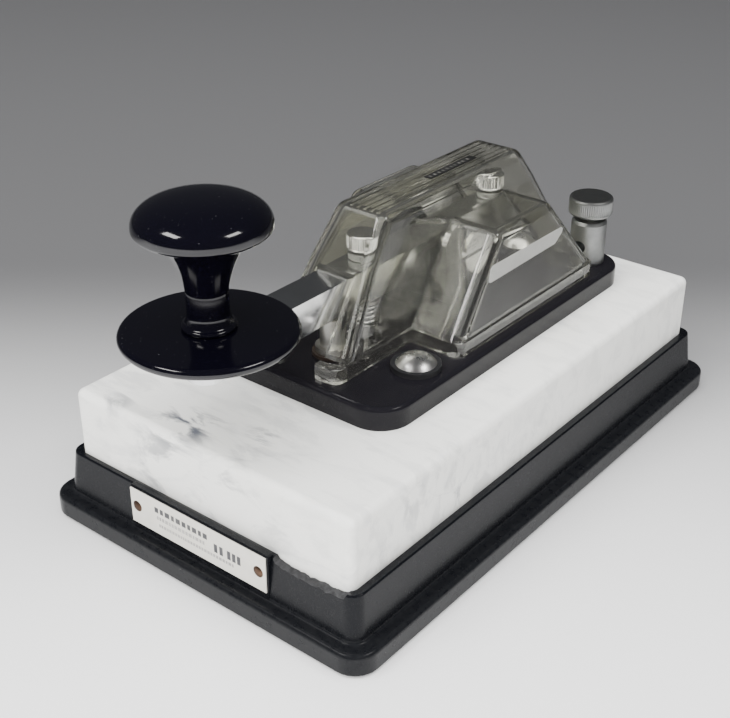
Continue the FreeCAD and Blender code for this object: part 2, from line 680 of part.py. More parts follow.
def spring_seat():
    """Button between the spring and the tension screw's tip."""
    return turned(0, SPRING_Y, [(0, SPRING_SEAT_Z), (SPRING_SEAT_R, SPRING_SEAT_Z),
                                (SPRING_SEAT_R, SPRING_SEAT_Z + SPRING_SEAT_RIM_H),
                                (SPRING_SEAT_TOP_R, SPRING_SEAT_TOP_Z), (0, SPRING_SEAT_TOP_Z)])


def rear_stop():
    """Pad that the gap screw rests on."""
    return fused([rod(0, STOP_Y, SUB_TOP_Z, STOP_TOP_Z, STOP_R), peg(STOP_Y)])


def adjusting_shank(y, tip_z):
    """Threaded shank of a screw through the lever."""
    return rod(0, y, tip_z, ADJUST_HEAD_TOP_Z - ADJUST_CROWN, ADJUST_R)


def adjusting_head(y):
    """Knurled head of a screw through the lever."""
    return knurled(0, y, ADJUST_HEAD_BOTTOM_Z, ADJUST_HEAD_TOP_Z, ADJUST_HEAD_R, ADJUST_HEAD_BEVEL,
                   ADJUST_R + RUNNING_GAP, ADJUST_HEAD_TOP_Z - ADJUST_CROWN + RUNNING_GAP)


def lock_nut(y):
    """Round lock nut on top of the lever."""
    nut = rod(0, y, LEVER_TOP_Z + RUNNING_GAP, LOCK_NUT_TOP_Z, LOCK_NUT_R)
    return nut.cut(rod(0, y, LEVER_TOP_Z, LOCK_NUT_TOP_Z, ADJUST_R + RUNNING_GAP))


def terminal_post(side):
    """Terminal with a wire hole along Y and a bore for its clamp screw."""
    x = side * TERMINAL_X
    post = turned(x, TERMINAL_Y, [(0, SUB_TOP_Z), (POST_R, SUB_TOP_Z), (POST_R, POST_TOP_Z - POST_BEVEL_H),
                                  (POST_R - POST_BEVEL_R, POST_TOP_Z), (0, POST_TOP_Z)])
    post = fused([post, rod(x, TERMINAL_Y, STUD_BOTTOM_Z, SUB_TOP_Z, STUD_M4_R)])
    start = Vector(x, TERMINAL_Y - POST_R - 1, WIRE_HOLE_Z)
    post = post.cut(Part.makeCylinder(WIRE_HOLE_R, 2 * POST_R + 2, start, ALONG))
    return post.cut(rod(x, TERMINAL_Y, CLAMP_BORE_Z, POST_TOP_Z, CLAMP_R + RUNNING_GAP))


def terminal_shank(side):
    """Threaded shank of a terminal's clamp screw."""
    return rod(side * TERMINAL_X, TERMINAL_Y, CLAMP_TIP_Z, CLAMP_HEAD_TOP_Z - CLAMP_CROWN, CLAMP_R)


def terminal_head(side):
    """Knurled head of a terminal's clamp screw."""
    return knurled(side * TERMINAL_X, TERMINAL_Y, CLAMP_HEAD_BOTTOM_Z, CLAMP_HEAD_TOP_Z,
                   CLAMP_HEAD_R, CLAMP_HEAD_BEVEL, CLAMP_R + RUNNING_GAP,
                   CLAMP_HEAD_TOP_Z - CLAMP_CROWN + RUNNING_GAP)


def small_nut(x, y):
    """M4 nut under a strap."""
    top = CHANNEL_TOP_Z - STRAP_THICKNESS
    nut = hexagon(x, y, top - NUT_M4_H, top, NUT_M4_R)
    return nut.cut(rod(x, y, STUD_BOTTOM_Z, top, STUD_M4_R))


def conductor_strap(route, end_hole_r):
    """Brass strap under the sub-base."""
    z0 = CHANNEL_TOP_Z - STRAP_THICKNESS
    strap = strip(route, STRAP_HALF_WIDTH, z0, CHANNEL_TOP_Z)
    for (x, y), hole_r in zip(route, (STUD_M4_R, end_hole_r)):
        strap = strap.cut(rod(x, y, z0, CHANNEL_TOP_Z, hole_r))
    return strap


def facing(p, q, axis):
    """Plane through two (horizontal, z) points, its normal on the right of the way from p to q."""
    run_h = q[0] - p[0]
    run_z = q[1] - p[1]
    normal = axis * run_z - UP * run_h
    normal.normalize()
    return normal, axis * p[0] + UP * p[1]


def solid_within(planes, inset):
    """Solid on the inner side of every plane, with each plane moved inwards by inset."""
    size = 300.0
    solid = box(-60, 60, -90, 90, COVER_BOTTOM_Z - 5, 100)
    for normal, point in planes:
        block = Part.makeBox(size, size, size, Vector(-size / 2, -size / 2, 0))
        turn = FreeCAD.Rotation(UP, normal)
        block.Placement = FreeCAD.Placement(point - normal * inset, turn)
        solid = solid.cut(block)
    return solid


def side_planes(foot_half_x, foot_z, top_half_x, top_z):
    """The two leaning flanks of a shape that is symmetric about the lever."""
    right = facing((foot_half_x, foot_z), (top_half_x, top_z), ACROSS)
    left = facing((foot_half_x, foot_z), (top_half_x, top_z), ACROSS * -1)
    return [right, left]


def end_planes(front, rear, top_z):
    """Front and rear slopes, each a run of (y, z) points from foot to top, and the top."""
    planes = [(UP, UP * top_z)]
    for p, q in zip(front, front[1:]):
        planes.append(facing((-p[0], p[1]), (-q[0], q[1]), ALONG * -1))
    for p, q in zip(rear, rear[1:]):
        planes.append(facing(p, q, ALONG))
    return planes


def spine(inset):
    """Narrow, tall part of the cover."""
    planes = side_planes(SPINE_FOOT_HALF_X, RIM_TOP_Z, SPINE_TOP_HALF_X, SPINE_TOP_Z)
    return solid_within(planes + end_planes(SPINE_FRONT, SPINE_REAR, SPINE_TOP_Z), inset)


def hood(inset):
    """Wide, low part of the cover."""
    planes = side_planes(HOOD_FOOT_HALF_X, RIM_TOP_Z, HOOD_TOP_HALF_X, HOOD_TOP_Z)
    return solid_within(planes + end_planes(HOOD_FRONT, HOOD_REAR, HOOD_TOP_Z), inset)


def rim_block(grow, z0):
    """Upright band at the cover's foot, grown sideways from the wall's outline."""
    narrow = rounded_plate(SPINE_FOOT_HALF_X + grow, SPINE_FRONT[0][0] - grow, SPINE_REAR[0][0] + grow,
                           z0, RIM_TOP_Z, RIM_CORNER_R)
    wide = rounded_plate(HOOD_FOOT_HALF_X + grow, HOOD_FRONT[0][0] - grow, HOOD_REAR[0][0] + grow,
                         z0, RIM_TOP_Z, RIM_CORNER_R)
    return fused([narrow, wide])


def dust_cover():
    """Clear moulded cover, open below, with a doorway for the lever."""
    above = box(-60, 60, -90, 90, RIM_TOP_Z, 100)
    outer = fused([spine(0).common(above), hood(0).common(above), rim_block(RIM_PROUD, COVER_BOTTOM_Z)])
    inner = fused([spine(COVER_WALL).common(above), hood(COVER_WALL).common(above)])
    shell = outer.cut(inner)
    shell = shell.cut(rim_block(-COVER_WALL, COVER_BOTTOM_Z - 1))
    door = box(-DOOR_HALF_X, DOOR_HALF_X, SPINE_FRONT[0][0] - 2, DOOR_REAR_Y,
               COVER_BOTTOM_Z - 1, DOOR_TOP_Z)
    return shell.cut(door)


def cover_label():
    """Plain strip on the cover's top."""
    return box(LABEL_X[0], LABEL_X[1], LABEL_Y[0], LABEL_Y[1], SPINE_TOP_Z,
               SPINE_TOP_Z + LABEL_THICKNESS)


def pieces():
    """Every node's name and shape."""
    left_route, right_route = strap_routes()
    terminals = {"left": -1, "right": 1}
    nodes = {
        "base_tray": base_tray(),
        "rubber_feet": rubber_feet(),
        "marble_block": marble_block(),
        "nameplate": nameplate(),
        "nameplate_rivets": nameplate_rivets(),
        "sub_base": sub_base(),
        "base_bolts": base_bolts(),
        "bolt_seat_washers": bolt_seat_washers(),
        "base_bolt_washers": base_bolt_washers(),
        "base_bolt_nuts": base_bolt_nuts(),
        "pivot_frame": pivot_frame(),
        "pivot_frame_screws": pivot_frame_screws(),
        "bearing_outer_rings": bearing_outer_rings(),
        "bearing_inner_rings": bearing_inner_rings(),
        "bearing_balls": bearing_balls(),
        "bearing_caps": bearing_caps(),
        "lever": lever(),
        "pivot_shaft": pivot_shaft(),
        "pivot_spacers": pivot_spacers(),
        "upper_contact": upper_contact(),
        "knob": knob(),
        "knob_skirt": knob_skirt(),
        "knob_stud": knob_stud(),
        "contact_insulator": contact_insulator(),
        "lower_contact": lower_contact(),
        "lower_contact_tip": lower_contact_tip(),
        "spring_cup": spring_cup(),
        "return_spring": return_spring(),
        "spring_seat": spring_seat(),
        "rear_stop": rear_stop(),
        "tension_screw_shank": adjusting_shank(SPRING_Y, SPRING_SEAT_TOP_Z),
        "tension_screw_head": adjusting_head(SPRING_Y),
        "tension_lock_nut": lock_nut(SPRING_Y),
        "gap_screw_shank": adjusting_shank(STOP_Y, STOP_TOP_Z + RUNNING_GAP),
        "gap_screw_head": adjusting_head(STOP_Y),
        "gap_lock_nut": lock_nut(STOP_Y),
        "conductor_strap_left": conductor_strap(left_route, FRAME_SCREW_R),
        "conductor_strap_right": conductor_strap(right_route, STUD_M4_R),
        "contact_nut": small_nut(0, CONTACT_Y),
        "dust_cover": dust_cover(),
        "cover_label": cover_label(),
    }
    nuts = [small_nut(side * TERMINAL_X, TERMINAL_Y) for side in terminals.values()]
    nodes["terminal_post_nuts"] = Part.makeCompound(nuts)
    for name, side in terminals.items():
        nodes["terminal_post_" + name] = terminal_post(side)
        nodes["terminal_screw_shank_" + name] = terminal_shank(side)
        nodes["terminal_screw_head_" + name] = terminal_head(side)
    return nodes


os.makedirs("parts", exist_ok=True)
for name, shape in pieces().items():
    shape.translate(FRAME_SHIFT)
    shape.exportStep("parts/" + name + ".step")
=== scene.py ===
import math
import random

import bmesh
import bpy
from mathutils import Matrix, Vector, noise


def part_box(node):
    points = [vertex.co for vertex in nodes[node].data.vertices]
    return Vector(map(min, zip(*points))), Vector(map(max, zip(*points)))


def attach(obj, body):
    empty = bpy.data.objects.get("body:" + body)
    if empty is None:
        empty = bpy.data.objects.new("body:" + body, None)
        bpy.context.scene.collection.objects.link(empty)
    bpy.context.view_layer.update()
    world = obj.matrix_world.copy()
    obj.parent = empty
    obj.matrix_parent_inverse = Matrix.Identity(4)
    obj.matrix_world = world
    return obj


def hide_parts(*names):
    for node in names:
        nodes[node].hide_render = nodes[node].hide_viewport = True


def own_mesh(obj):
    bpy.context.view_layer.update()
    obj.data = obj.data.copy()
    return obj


# A straight telegraph key on marble. Pieces are drawn in millimetres about the tray's centre,
# with z = 0 at the tray's underside, and are then settled into the frame in metres.

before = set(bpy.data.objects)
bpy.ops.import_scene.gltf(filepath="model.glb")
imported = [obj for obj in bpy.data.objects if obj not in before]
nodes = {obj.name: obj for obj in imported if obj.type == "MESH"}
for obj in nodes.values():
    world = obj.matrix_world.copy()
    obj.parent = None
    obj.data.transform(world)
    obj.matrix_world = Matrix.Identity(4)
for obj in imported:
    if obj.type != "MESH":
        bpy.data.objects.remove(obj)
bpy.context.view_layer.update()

MM = 0.001
tray_low, tray_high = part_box("base_tray")
TRAY_ORIGIN = Vector(((tray_low.x + tray_high.x) / 2, (tray_low.y + tray_high.y) / 2, tray_low.z)) / MM
INTO_FRAME = Matrix.Scale(MM, 4) @ Matrix.Translation(TRAY_ORIGIN)
UP = Vector((0, 0, 1))
ACROSS = Vector((1, 0, 0))
ALONG = Vector((0, 1, 0))


def span(node_name):
    """A CAD node's lowest and highest corner, in millimetres about the tray's centre."""
    low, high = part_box(node_name)
    return low / MM - TRAY_ORIGIN, high / MM - TRAY_ORIGIN


# ---------------------------------------------------------------- camera

CAMERA_PLACE = Vector((0.18090, -0.23839, 0.19468))
CAMERA_AZIMUTH = math.radians(38.914)
CAMERA_ELEVATION = math.radians(29.021)
CAMERA_ROLL = math.radians(0.034)
CAMERA_LENS = 61.50


def back_vector(azimuth, elevation):
    """Unit vector from the object towards a viewer."""
    flat = math.cos(elevation)
    return Vector((math.sin(azimuth) * flat, -math.cos(azimuth) * flat, math.sin(elevation)))


def add_camera():
    data = bpy.data.cameras.new("camera")
    data.lens = CAMERA_LENS
    data.sensor_width = 36.0
    data.clip_start = 0.01
    data.clip_end = 20.0
    camera = bpy.data.objects.new("camera", data)
    bpy.context.scene.collection.objects.link(camera)
    camera.location = CAMERA_PLACE
    camera.rotation_mode = "QUATERNION"
    turn = (-back_vector(CAMERA_AZIMUTH, CAMERA_ELEVATION)).to_track_quat("-Z", "Y")
    camera.rotation_quaternion = turn @ Matrix.Rotation(CAMERA_ROLL, 3, "Z").to_quaternion()
    bpy.context.scene.camera = camera


add_camera()


# ---------------------------------------------------------------- material helpers


def new_material(name, **values):
    """Principled material with constant values set on its shader's own sockets."""
    material = bpy.data.materials.new(name)
    material.use_nodes = True
    shader = material.node_tree.nodes["Principled BSDF"]
    for key, value in values.items():
        socket = shader.inputs[key.replace("_", " ")]
        socket.default_value = value
    return material, material.node_tree, shader


def add_node(tree, kind, inputs=None, **settings):
    """New node with its settings, and its inputs linked or set."""
    made = tree.nodes.new(kind)
    for key, value in settings.items():
        setattr(made, key, value)
    for key, value in (inputs or {}).items():
        if isinstance(value, bpy.types.NodeSocket):
            tree.links.new(value, made.inputs[key])
        else:
            made.inputs[key].default_value = value
    return made


def own_place(tree):
    """The piece's own coordinates in metres."""
    return add_node(tree, "ShaderNodeTexCoord").outputs["Object"]


def stretched(tree, stretch, turn=(0, 0, 0)):
    """The piece's own coordinates, turned and stretched."""
    return add_node(tree, "ShaderNodeMapping", {"Vector": own_place(tree), "Rotation": turn,
                                                "Scale": stretch}).outputs["Vector"]


def grain(tree, scale, detail=4.0, roughness=0.5, distortion=0.0, where=None):
    """Noise value, scale in features per metre."""
    made = add_node(tree, "ShaderNodeTexNoise", {"Vector": where or own_place(tree), "Scale": scale,
                                                 "Detail": detail, "Roughness": roughness,
                                                 "Distortion": distortion})
    return made.outputs["Fac"]


def spread(tree, value, low, high, to_low=0.0, to_high=1.0):
    """Value mapped from low..high to to_low..to_high, held within that range."""
    return add_node(tree, "ShaderNodeMapRange", {"Value": value, "From Min": low, "From Max": high,
                                                 "To Min": to_low, "To Max": to_high}).outputs["Result"]


def maths(tree, operation, first, second):
    """Two values combined by a math node."""
    made = add_node(tree, "ShaderNodeMath", operation=operation)
    for socket, value in zip(made.inputs, (first, second)):
        if isinstance(value, bpy.types.NodeSocket):
            tree.links.new(value, socket)
        else:
            socket.default_value = value
    return made.outputs["Value"]


def blended(tree, amount, first, second):
    """Colour between two colours."""
    made = add_node(tree, "ShaderNodeMix", data_type="RGBA")
    for index, value in ((0, amount), (6, first), (7, second)):
        if isinstance(value, bpy.types.NodeSocket):
            tree.links.new(value, made.inputs[index])
        elif index == 0:
            made.inputs[index].default_value = value
        else:
            made.inputs[index].default_value = (*value, 1.0)
    return made.outputs[2]


def bumped(tree, shader, height, depth_mm):
    """Bump of the given depth on the shader's normal."""
    made = add_node(tree, "ShaderNodeBump", {"Height": height, "Distance": depth_mm * MM, "Strength": 1.0})
    tree.links.new(made.outputs["Normal"], shader.inputs["Normal"])


def link(tree, value, shader, socket):
    """Feeds a value into one of the shader's sockets."""
    tree.links.new(value, shader.inputs[socket])


def height_band(tree, low, high):
    """1 below height low, 0 above height high, in millimetres over the tray's underside."""
    height = add_node(tree, "ShaderNodeSeparateXYZ", {"Vector": own_place(tree)}).outputs["Z"]
    base = TRAY_ORIGIN.z
    return spread(tree, height, (low + base) * MM, (high + base) * MM, 1.0, 0.0)


# ---------------------------------------------------------------- materials


# Where the marble's dark streaks gather: place and reach in millimetres, and strength.
VEIN_PLACES = [
    ((-11.0, -73.5, 36.0), 11.0, 1.0),
    ((7.0, -66.0, 36.0), 5.0, 1.0),
    ((-14.0, -79.0, 25.0), 15.0, 0.45),
    ((6.0, -79.0, 26.0), 13.0, 0.4),
    ((45.0, -56.0, 29.0), 8.0, 0.22),
    ((45.0, -38.0, 24.0), 8.0, 0.2),
    ((-32.0, -76.0, 36.0), 5.0, 0.5),
    ((28.0, -79.0, 12.0), 7.0, 0.35),
]


def near(tree, centre, reach, strength):
    """The given strength around a place, falling to 0 at its reach."""
    distance = add_node(tree, "ShaderNodeVectorMath", operation="DISTANCE")
    tree.links.new(own_place(tree), distance.inputs[0])
    distance.inputs[1].default_value = (Vector(centre) + TRAY_ORIGIN) * MM
    full_within = 0.3 * reach
    return spread(tree, distance.outputs["Value"], full_within * MM, reach * MM, strength, 0.0)


def marble():
    """White marble with faint clouds, fine strokes and a few dark streaks, honed rather than polished."""
    material, tree, shader = new_material("marble", IOR=1.5, Subsurface_Weight=0.12, Subsurface_Scale=0.004)
    shader.inputs["Subsurface Radius"].default_value = (1.0, 0.93, 0.82)
    along = stretched(tree, (0.5, 1.6, 1.0), (0.2, 0.1, 0.25))
    strokes = spread(tree, grain(tree, 130, 6, 0.62, 0.5, along), 0.475, 0.60)
    clouds = spread(tree, grain(tree, 34, 4, 0.55), 0.42, 0.72)
    gathered = near(tree, *VEIN_PLACES[0])
    for vein in VEIN_PLACES[1:]:
        gathered = maths(tree, "MAXIMUM", gathered, near(tree, *vein))
    strength = maths(tree, "ADD", maths(tree, "MULTIPLY", clouds, 0.2), 0.1)
    strength = maths(tree, "ADD", strength, maths(tree, "MULTIPLY", gathered, 0.95))
    grey = maths(tree, "MULTIPLY", strokes, strength)
    off_middle = maths(tree, "SUBTRACT", grain(tree, 24, 5, 0.5, 0.8, along), 0.5)
    thread = spread(tree, maths(tree, "ABSOLUTE", off_middle, 0.0), 0.0, 0.014, 0.24, 0.0)
    grey = maths(tree, "ADD", grey, maths(tree, "MULTIPLY", thread, clouds))
    grey = maths(tree, "ADD", grey, maths(tree, "MULTIPLY", clouds, 0.05))
    link(tree, blended(tree, grey, (0.87, 0.87, 0.835), (0.12, 0.13, 0.155)), shader, "Base Color")
    polish = grain(tree, 900, 3, 0.6)
    link(tree, spread(tree, polish, 0.3, 0.7, 0.32, 0.48), shader, "Roughness")
    bumped(tree, shader, grain(tree, 700, 4, 0.6), 0.02)
    return material


def moulded_black(name, colour, dust, rough_low, rough_high, dust_low, dust_high):
    """Black moulding with dust that gathers low down, fine scuffs and a slight orange peel."""
    material, tree, shader = new_material(name, IOR=1.5, Specular_IOR_Level=0.16)
    specks = spread(tree, grain(tree, 2600, 3, 0.6), 0.60, 0.72)
    clouds = spread(tree, grain(tree, 500, 6, 0.72), 0.25, 0.85)
    low_down = height_band(tree, dust_low, dust_high)
    film = maths(tree, "MULTIPLY", maths(tree, "ADD", low_down, 0.08), clouds)
    dusty = maths(tree, "ADD", maths(tree, "MULTIPLY", specks, 0.07), maths(tree, "MULTIPLY", film, 0.045))
    link(tree, blended(tree, dusty, colour, dust), shader, "Base Color")
    link(tree, spread(tree, dusty, 0.0, 0.8, rough_low, rough_high), shader, "Roughness")
    bumped(tree, shader, grain(tree, 1100, 4, 0.55), 0.02)
    return material


def broken_edge():
    """Rough, paler face where the moulding has broken."""
    material, tree, shader = new_material("broken_edge", Roughness=0.85, IOR=1.5)
    mottle = grain(tree, 900, 6, 0.7)
    link(tree, blended(tree, spread(tree, mottle, 0.3, 0.7), (0.008, 0.008, 0.009), (0.05, 0.05, 0.052)),
         shader, "Base Color")
    bumped(tree, shader, grain(tree, 700, 6, 0.7), 0.35)
    return material


def glossy_black():
    """Polished black plastic with a trace of blue and a few specks of dust."""
    material, tree, shader = new_material("knob_gloss", IOR=1.5, Coat_Weight=0.06, Coat_Roughness=0.08)
    specks = spread(tree, grain(tree, 1900, 2, 0.5), 0.735, 0.76)
    smear = spread(tree, grain(tree, 45, 4, 0.6), 0.35, 0.75)
    link(tree, blended(tree, specks, (0.0016, 0.0014, 0.0034), (0.06, 0.06, 0.065)), shader, "Base Color")
    link(tree, spread(tree, maths(tree, "ADD", smear, specks), 0.0, 2.0, 0.09, 0.19), shader, "Roughness")
    return material


def metal(name, colour, stained, rough_low, rough_high, stretch=(1, 1, 1), scratch=0.01):
    """Bare or plated metal with fine directional scratches and uneven tarnish."""
    material, tree, shader = new_material(name, Metallic=1.0)
    lines = grain(tree, 900, 5, 0.65, 0.0, stretched(tree, stretch))
    tarnish = spread(tree, grain(tree, 130, 5, 0.6), 0.38, 0.72)
    link(tree, blended(tree, tarnish, colour, stained), shader, "Base Color")
    rough = maths(tree, "ADD", maths(tree, "MULTIPLY", tarnish, 0.5), maths(tree, "MULTIPLY", lines, 0.5))
    link(tree, spread(tree, rough, 0.2, 0.8, rough_low, rough_high), shader, "Roughness")
    bumped(tree, shader, lines, scratch)
    return material


def clear_acrylic():
    """Aged clear plastic: faintly yellow through its thickness, with smudges and fine haze."""
    material, tree, shader = new_material("clear_acrylic", IOR=1.49, Transmission_Weight=0.993)
    shader.inputs["Base Color"].default_value = (0.81, 0.808, 0.755, 1.0)
    smudge = spread(tree, grain(tree, 70, 5, 0.62), 0.45, 0.8)
    link(tree, spread(tree, smudge, 0.0, 1.0, 0.04, 0.17), shader, "Roughness")
    bumped(tree, shader, grain(tree, 90, 2, 0.4), 0.02)
    output = tree.nodes["Material Output"]
    absorb = add_node(tree, "ShaderNodeVolumeAbsorption", {"Density": 7.0})
    absorb.inputs["Color"].default_value = (0.84, 0.83, 0.52, 1.0)
    tree.links.new(absorb.outputs["Volume"], output.inputs["Volume"])
    shadow_ray = add_node(tree, "ShaderNodeLightPath").outputs["Is Shadow Ray"]
    see_through = add_node(tree, "ShaderNodeBsdfTransparent")
    see_through.inputs["Color"].default_value = (0.84, 0.835, 0.79, 1.0)
    mixed = add_node(tree, "ShaderNodeMixShader", {"Fac": shadow_ray})
    tree.links.new(shader.outputs["BSDF"], mixed.inputs[1])
    tree.links.new(see_through.outputs["BSDF"], mixed.inputs[2])
    tree.links.new(mixed.outputs["Shader"], output.inputs["Surface"])
    return material


def painted_reflection_acrylic():
    """Pale, barely see-through face on the clear plastic: a painted reflection of the overhead light on the
    hood's ledge.
    """
    material, tree, shader = new_material("painted_reflection_acrylic", IOR=1.49, Transmission_Weight=0.55)
    mottle = spread(tree, grain(tree, 260, 4, 0.6), 0.3, 0.7)
    link(tree, blended(tree, mottle, (0.62, 0.62, 0.60), (0.56, 0.56, 0.54)), shader, "Base Color")
    link(tree, spread(tree, mottle, 0.0, 1.0, 0.55, 0.65), shader, "Roughness")
    return material


def plain_print(name, colour, mottled, rough):
    """Painted or printed surface with slight unevenness."""
    material, tree, shader = new_material(name, Roughness=rough, IOR=1.5, Specular_IOR_Level=0.3)
    mottle = spread(tree, grain(tree, 220, 5, 0.6), 0.35, 0.75)
    link(tree, blended(tree, mottle, colour, mottled), shader, "Base Color")
    bumped(tree, shader, grain(tree, 1500, 3, 0.5), 0.01)
    return material


def floor_painted_falloff():
    """Matt paper, white in front of the key and greying away behind it: painted shade standing in for the
    light falling off.
    """
    material, tree, shader = new_material("floor_paper_painted_falloff", Roughness=0.85)
    distance = add_node(tree, "ShaderNodeVectorMath", operation="DOT_PRODUCT")
    tree.links.new(own_place(tree), distance.inputs[0])
    distance.inputs[1].default_value = -back_vector(CAMERA_AZIMUTH, 0.0)
    fade = add_node(tree, "ShaderNodeMapRange", {"Value": distance.outputs["Value"],
                                                 "From Min": FLOOR_PAINTED_SHADE_SPAN[0], "From Max": FLOOR_PAINTED_SHADE_SPAN[1]},
                    interpolation_type="SMOOTHSTEP")
    # Painted shade: the colour darkens away from the camera as if the light fell off.
    link(tree, blended(tree, fade.outputs["Result"], FLOOR_LIT_NEAR, FLOOR_PAINTED_SHADE_FAR), shader, "Base Color")
    return material


# The floor's colours in front of the key and behind it, and the metres over which they blend; the dark far
# colour is painted shade for the light falling off.
FLOOR_LIT_NEAR = (0.93, 0.93, 0.93)
FLOOR_PAINTED_SHADE_FAR = (0.096, 0.096, 0.098)
FLOOR_PAINTED_SHADE_SPAN = (-0.13, 0.13)
SLATE = (0.0032, 0.0036, 0.005)
DUST = (0.17, 0.17, 0.165)
MARBLE = marble()
TRAY = moulded_black("tray_moulding_black", SLATE, DUST, 0.27, 0.5, 6.0, 8.5)
BROKEN = broken_edge()
BAKELITE = moulded_black("sub_base_black", (0.0075, 0.007, 0.009), DUST, 0.16, 0.5, 36.3, 38.0)
GLOSS = glossy_black()
NICKEL = metal("satin_nickel", (0.31, 0.315, 0.31), (0.23, 0.235, 0.235), 0.42, 0.58, (60, 1, 60), 0.006)
POLISHED = metal("polished_nickel", (0.74, 0.745, 0.75), (0.66, 0.66, 0.66), 0.10, 0.22, (60, 1, 60), 0.001)
CHROME = metal("chrome", (0.80, 0.80, 0.80), (0.50, 0.49, 0.48), 0.08, 0.30)
DULL_CHROME = metal("dull_chrome", (0.86, 0.86, 0.85), (0.62, 0.61, 0.60), 0.22, 0.42)
STEEL = metal("zinc_plated_steel", (0.62, 0.61, 0.58), (0.44, 0.43, 0.40), 0.25, 0.5)
BRASS = metal("brass", (0.72, 0.53, 0.24), (0.45, 0.33, 0.17), 0.22, 0.48)
SILVER = metal("contact_silver", (0.83, 0.82, 0.79), (0.50, 0.48, 0.44), 0.15, 0.4)
SPRING_STEEL = metal("spring_steel", (0.55, 0.55, 0.56), (0.36, 0.36, 0.37), 0.2, 0.4)
BRONZE = metal("rivet_bronze", (0.12, 0.075, 0.05), (0.06, 0.035, 0.03), 0.35, 0.6)
FRAME_PAINT = moulded_black("frame_enamel", (0.012, 0.0125, 0.014), DUST, 0.25, 0.55, 42.4, 43.4)
WASHER = moulded_black("washer_fibre", (0.012, 0.012, 0.013), DUST, 0.45, 0.7, 42.2, 42.8)
RUBBER = plain_print("foot_rubber", (0.025, 0.025, 0.026), (0.045, 0.045, 0.045), 0.8)
FIBRE = plain_print("insulator_fibre", (0.018, 0.013, 0.011), (0.03, 0.022, 0.018), 0.5)
PLATE = plain_print("plate_enamel", (0.66, 0.64, 0.585), (0.58, 0.56, 0.505), 0.38)
INK = plain_print("plate_ink", (0.05, 0.05, 0.055), (0.11, 0.11, 0.11), 0.6)
PALE_INK = plain_print("pale_ink", (0.30, 0.29, 0.28), (0.42, 0.41, 0.39), 0.6)
LABEL = plain_print("label_black", (0.006, 0.006, 0.006), (0.012, 0.012, 0.012), 0.7)
LABEL_MARK = plain_print("label_mark", (0.12, 0.118, 0.11), (0.06, 0.058, 0.055), 0.7)
ACRYLIC = clear_acrylic()
# Pale sheet for the hood's flanks: painted reflection of the overhead light.
PAINTED_REFLECTION = painted_reflection_acrylic()


# ---------------------------------------------------------------- mesh helpers


def object_from(bm, name):
    """Scene object from a bmesh that is in millimetres."""
    bmesh.ops.recalc_face_normals(bm, faces=bm.faces[:])
    mesh = bpy.data.meshes.new(name)
    bm.to_mesh(mesh)
    bm.free()
    made = bpy.data.objects.new(name, mesh)
    bpy.context.scene.collection.objects.link(made)
    return made


def bake(obj):
    """Applies the modifiers to the object's mesh."""
    bpy.context.view_layer.update()
    graph = bpy.context.evaluated_depsgraph_get()
    final = bpy.data.meshes.new_from_object(obj.evaluated_get(graph))
    obj.modifiers.clear()
    obj.data = final


def combine(obj, other, operation):
    """Boolean of two objects, keeping the first."""
    modifier = obj.modifiers.new(operation, "BOOLEAN")
    modifier.object = other
    modifier.operation = operation
    modifier.solver = "EXACT"
    bake(obj)
    bpy.data.objects.remove(other)


def settle(obj, body, material, replaced=(), sharp_deg=35.0, weighted=True):
    """Puts a finished piece into the frame, with its material, body and shading."""
    obj.data.transform(INTO_FRAME)
    if not obj.data.materials:
        obj.data.materials.append(material)
    obj.data.polygons.foreach_set("use_smooth", [True] * len(obj.data.polygons))
    obj.data.set_sharp_from_angle(angle=math.radians(sharp_deg))
    if weighted:
        modifier = obj.modifiers.new("even_normals", "WEIGHTED_NORMAL")
        modifier.keep_sharp = True
        modifier.weight = 80
    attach(obj, body)
    if replaced:
        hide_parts(*replaced)


def ring_outline(half_x, half_y, radius, z, arc_steps=8):
    """Points round a rectangle with round corners."""
    points = []
    for sx, sy, start in ((1, -1, -90), (1, 1, 0), (-1, 1, 90), (-1, -1, 180)):
        for step in range(arc_steps + 1):
            angle = math.radians(start + 90 * step / arc_steps)
            points.append(Vector((sx * (half_x - radius) + radius * math.cos(angle),
                                  sy * (half_y - radius) + radius * math.sin(angle), z)))
    return points


def skin(rings):
    """Closed mesh through rings with the same number of points."""
    bm = bmesh.new()
    rows = [[bm.verts.new(point) for point in ring] for ring in rings]
    for lower, upper in zip(rows, rows[1:]):
        for i in range(len(lower)):
            j = (i + 1) % len(lower)
            bm.faces.new((lower[i], lower[j], upper[j], upper[i]))
    bm.faces.new(rows[0][::-1])
    bm.faces.new(rows[-1])
    return bm


def quarter(steps):
    """(cosine, sine) pairs along a quarter turn."""
    angles = [math.pi / 2 * i / steps for i in range(steps + 1)]
    return [(math.cos(a), math.sin(a)) for a in angles]


def block(x0, x1, y0, y1, z0, z1, edge=0.0, segments=2):
    """Box with bevelled edges, as a bmesh."""
    bm = bmesh.new()
    bmesh.ops.create_cube(bm, size=1.0)
    size = Matrix.Diagonal((x1 - x0, y1 - y0, z1 - z0, 1.0))
    centre = Vector(((x0 + x1) / 2, (y0 + y1) / 2, (z0 + z1) / 2))
    bm.transform(Matrix.Translation(centre) @ size)
    if edge:
        bmesh.ops.bevel(bm, geom=bm.edges[:], offset=edge, segments=segments, profile=0.5, affect="EDGES")
    return bm


def cylinder(x, y, z0, z1, radius):
    """Upright cylinder, as a bmesh."""
    bm = bmesh.new()
    bmesh.ops.create_cone(bm, cap_ends=True, segments=48, radius1=radius, radius2=radius,
                          depth=z1 - z0, matrix=Matrix.Translation((x, y, (z0 + z1) / 2)))
    return bm


# How deep a knurl is cut at each step round one tooth, as a share of its full depth.
TOOTH = (0.0, 0.62, 1.0, 0.62)


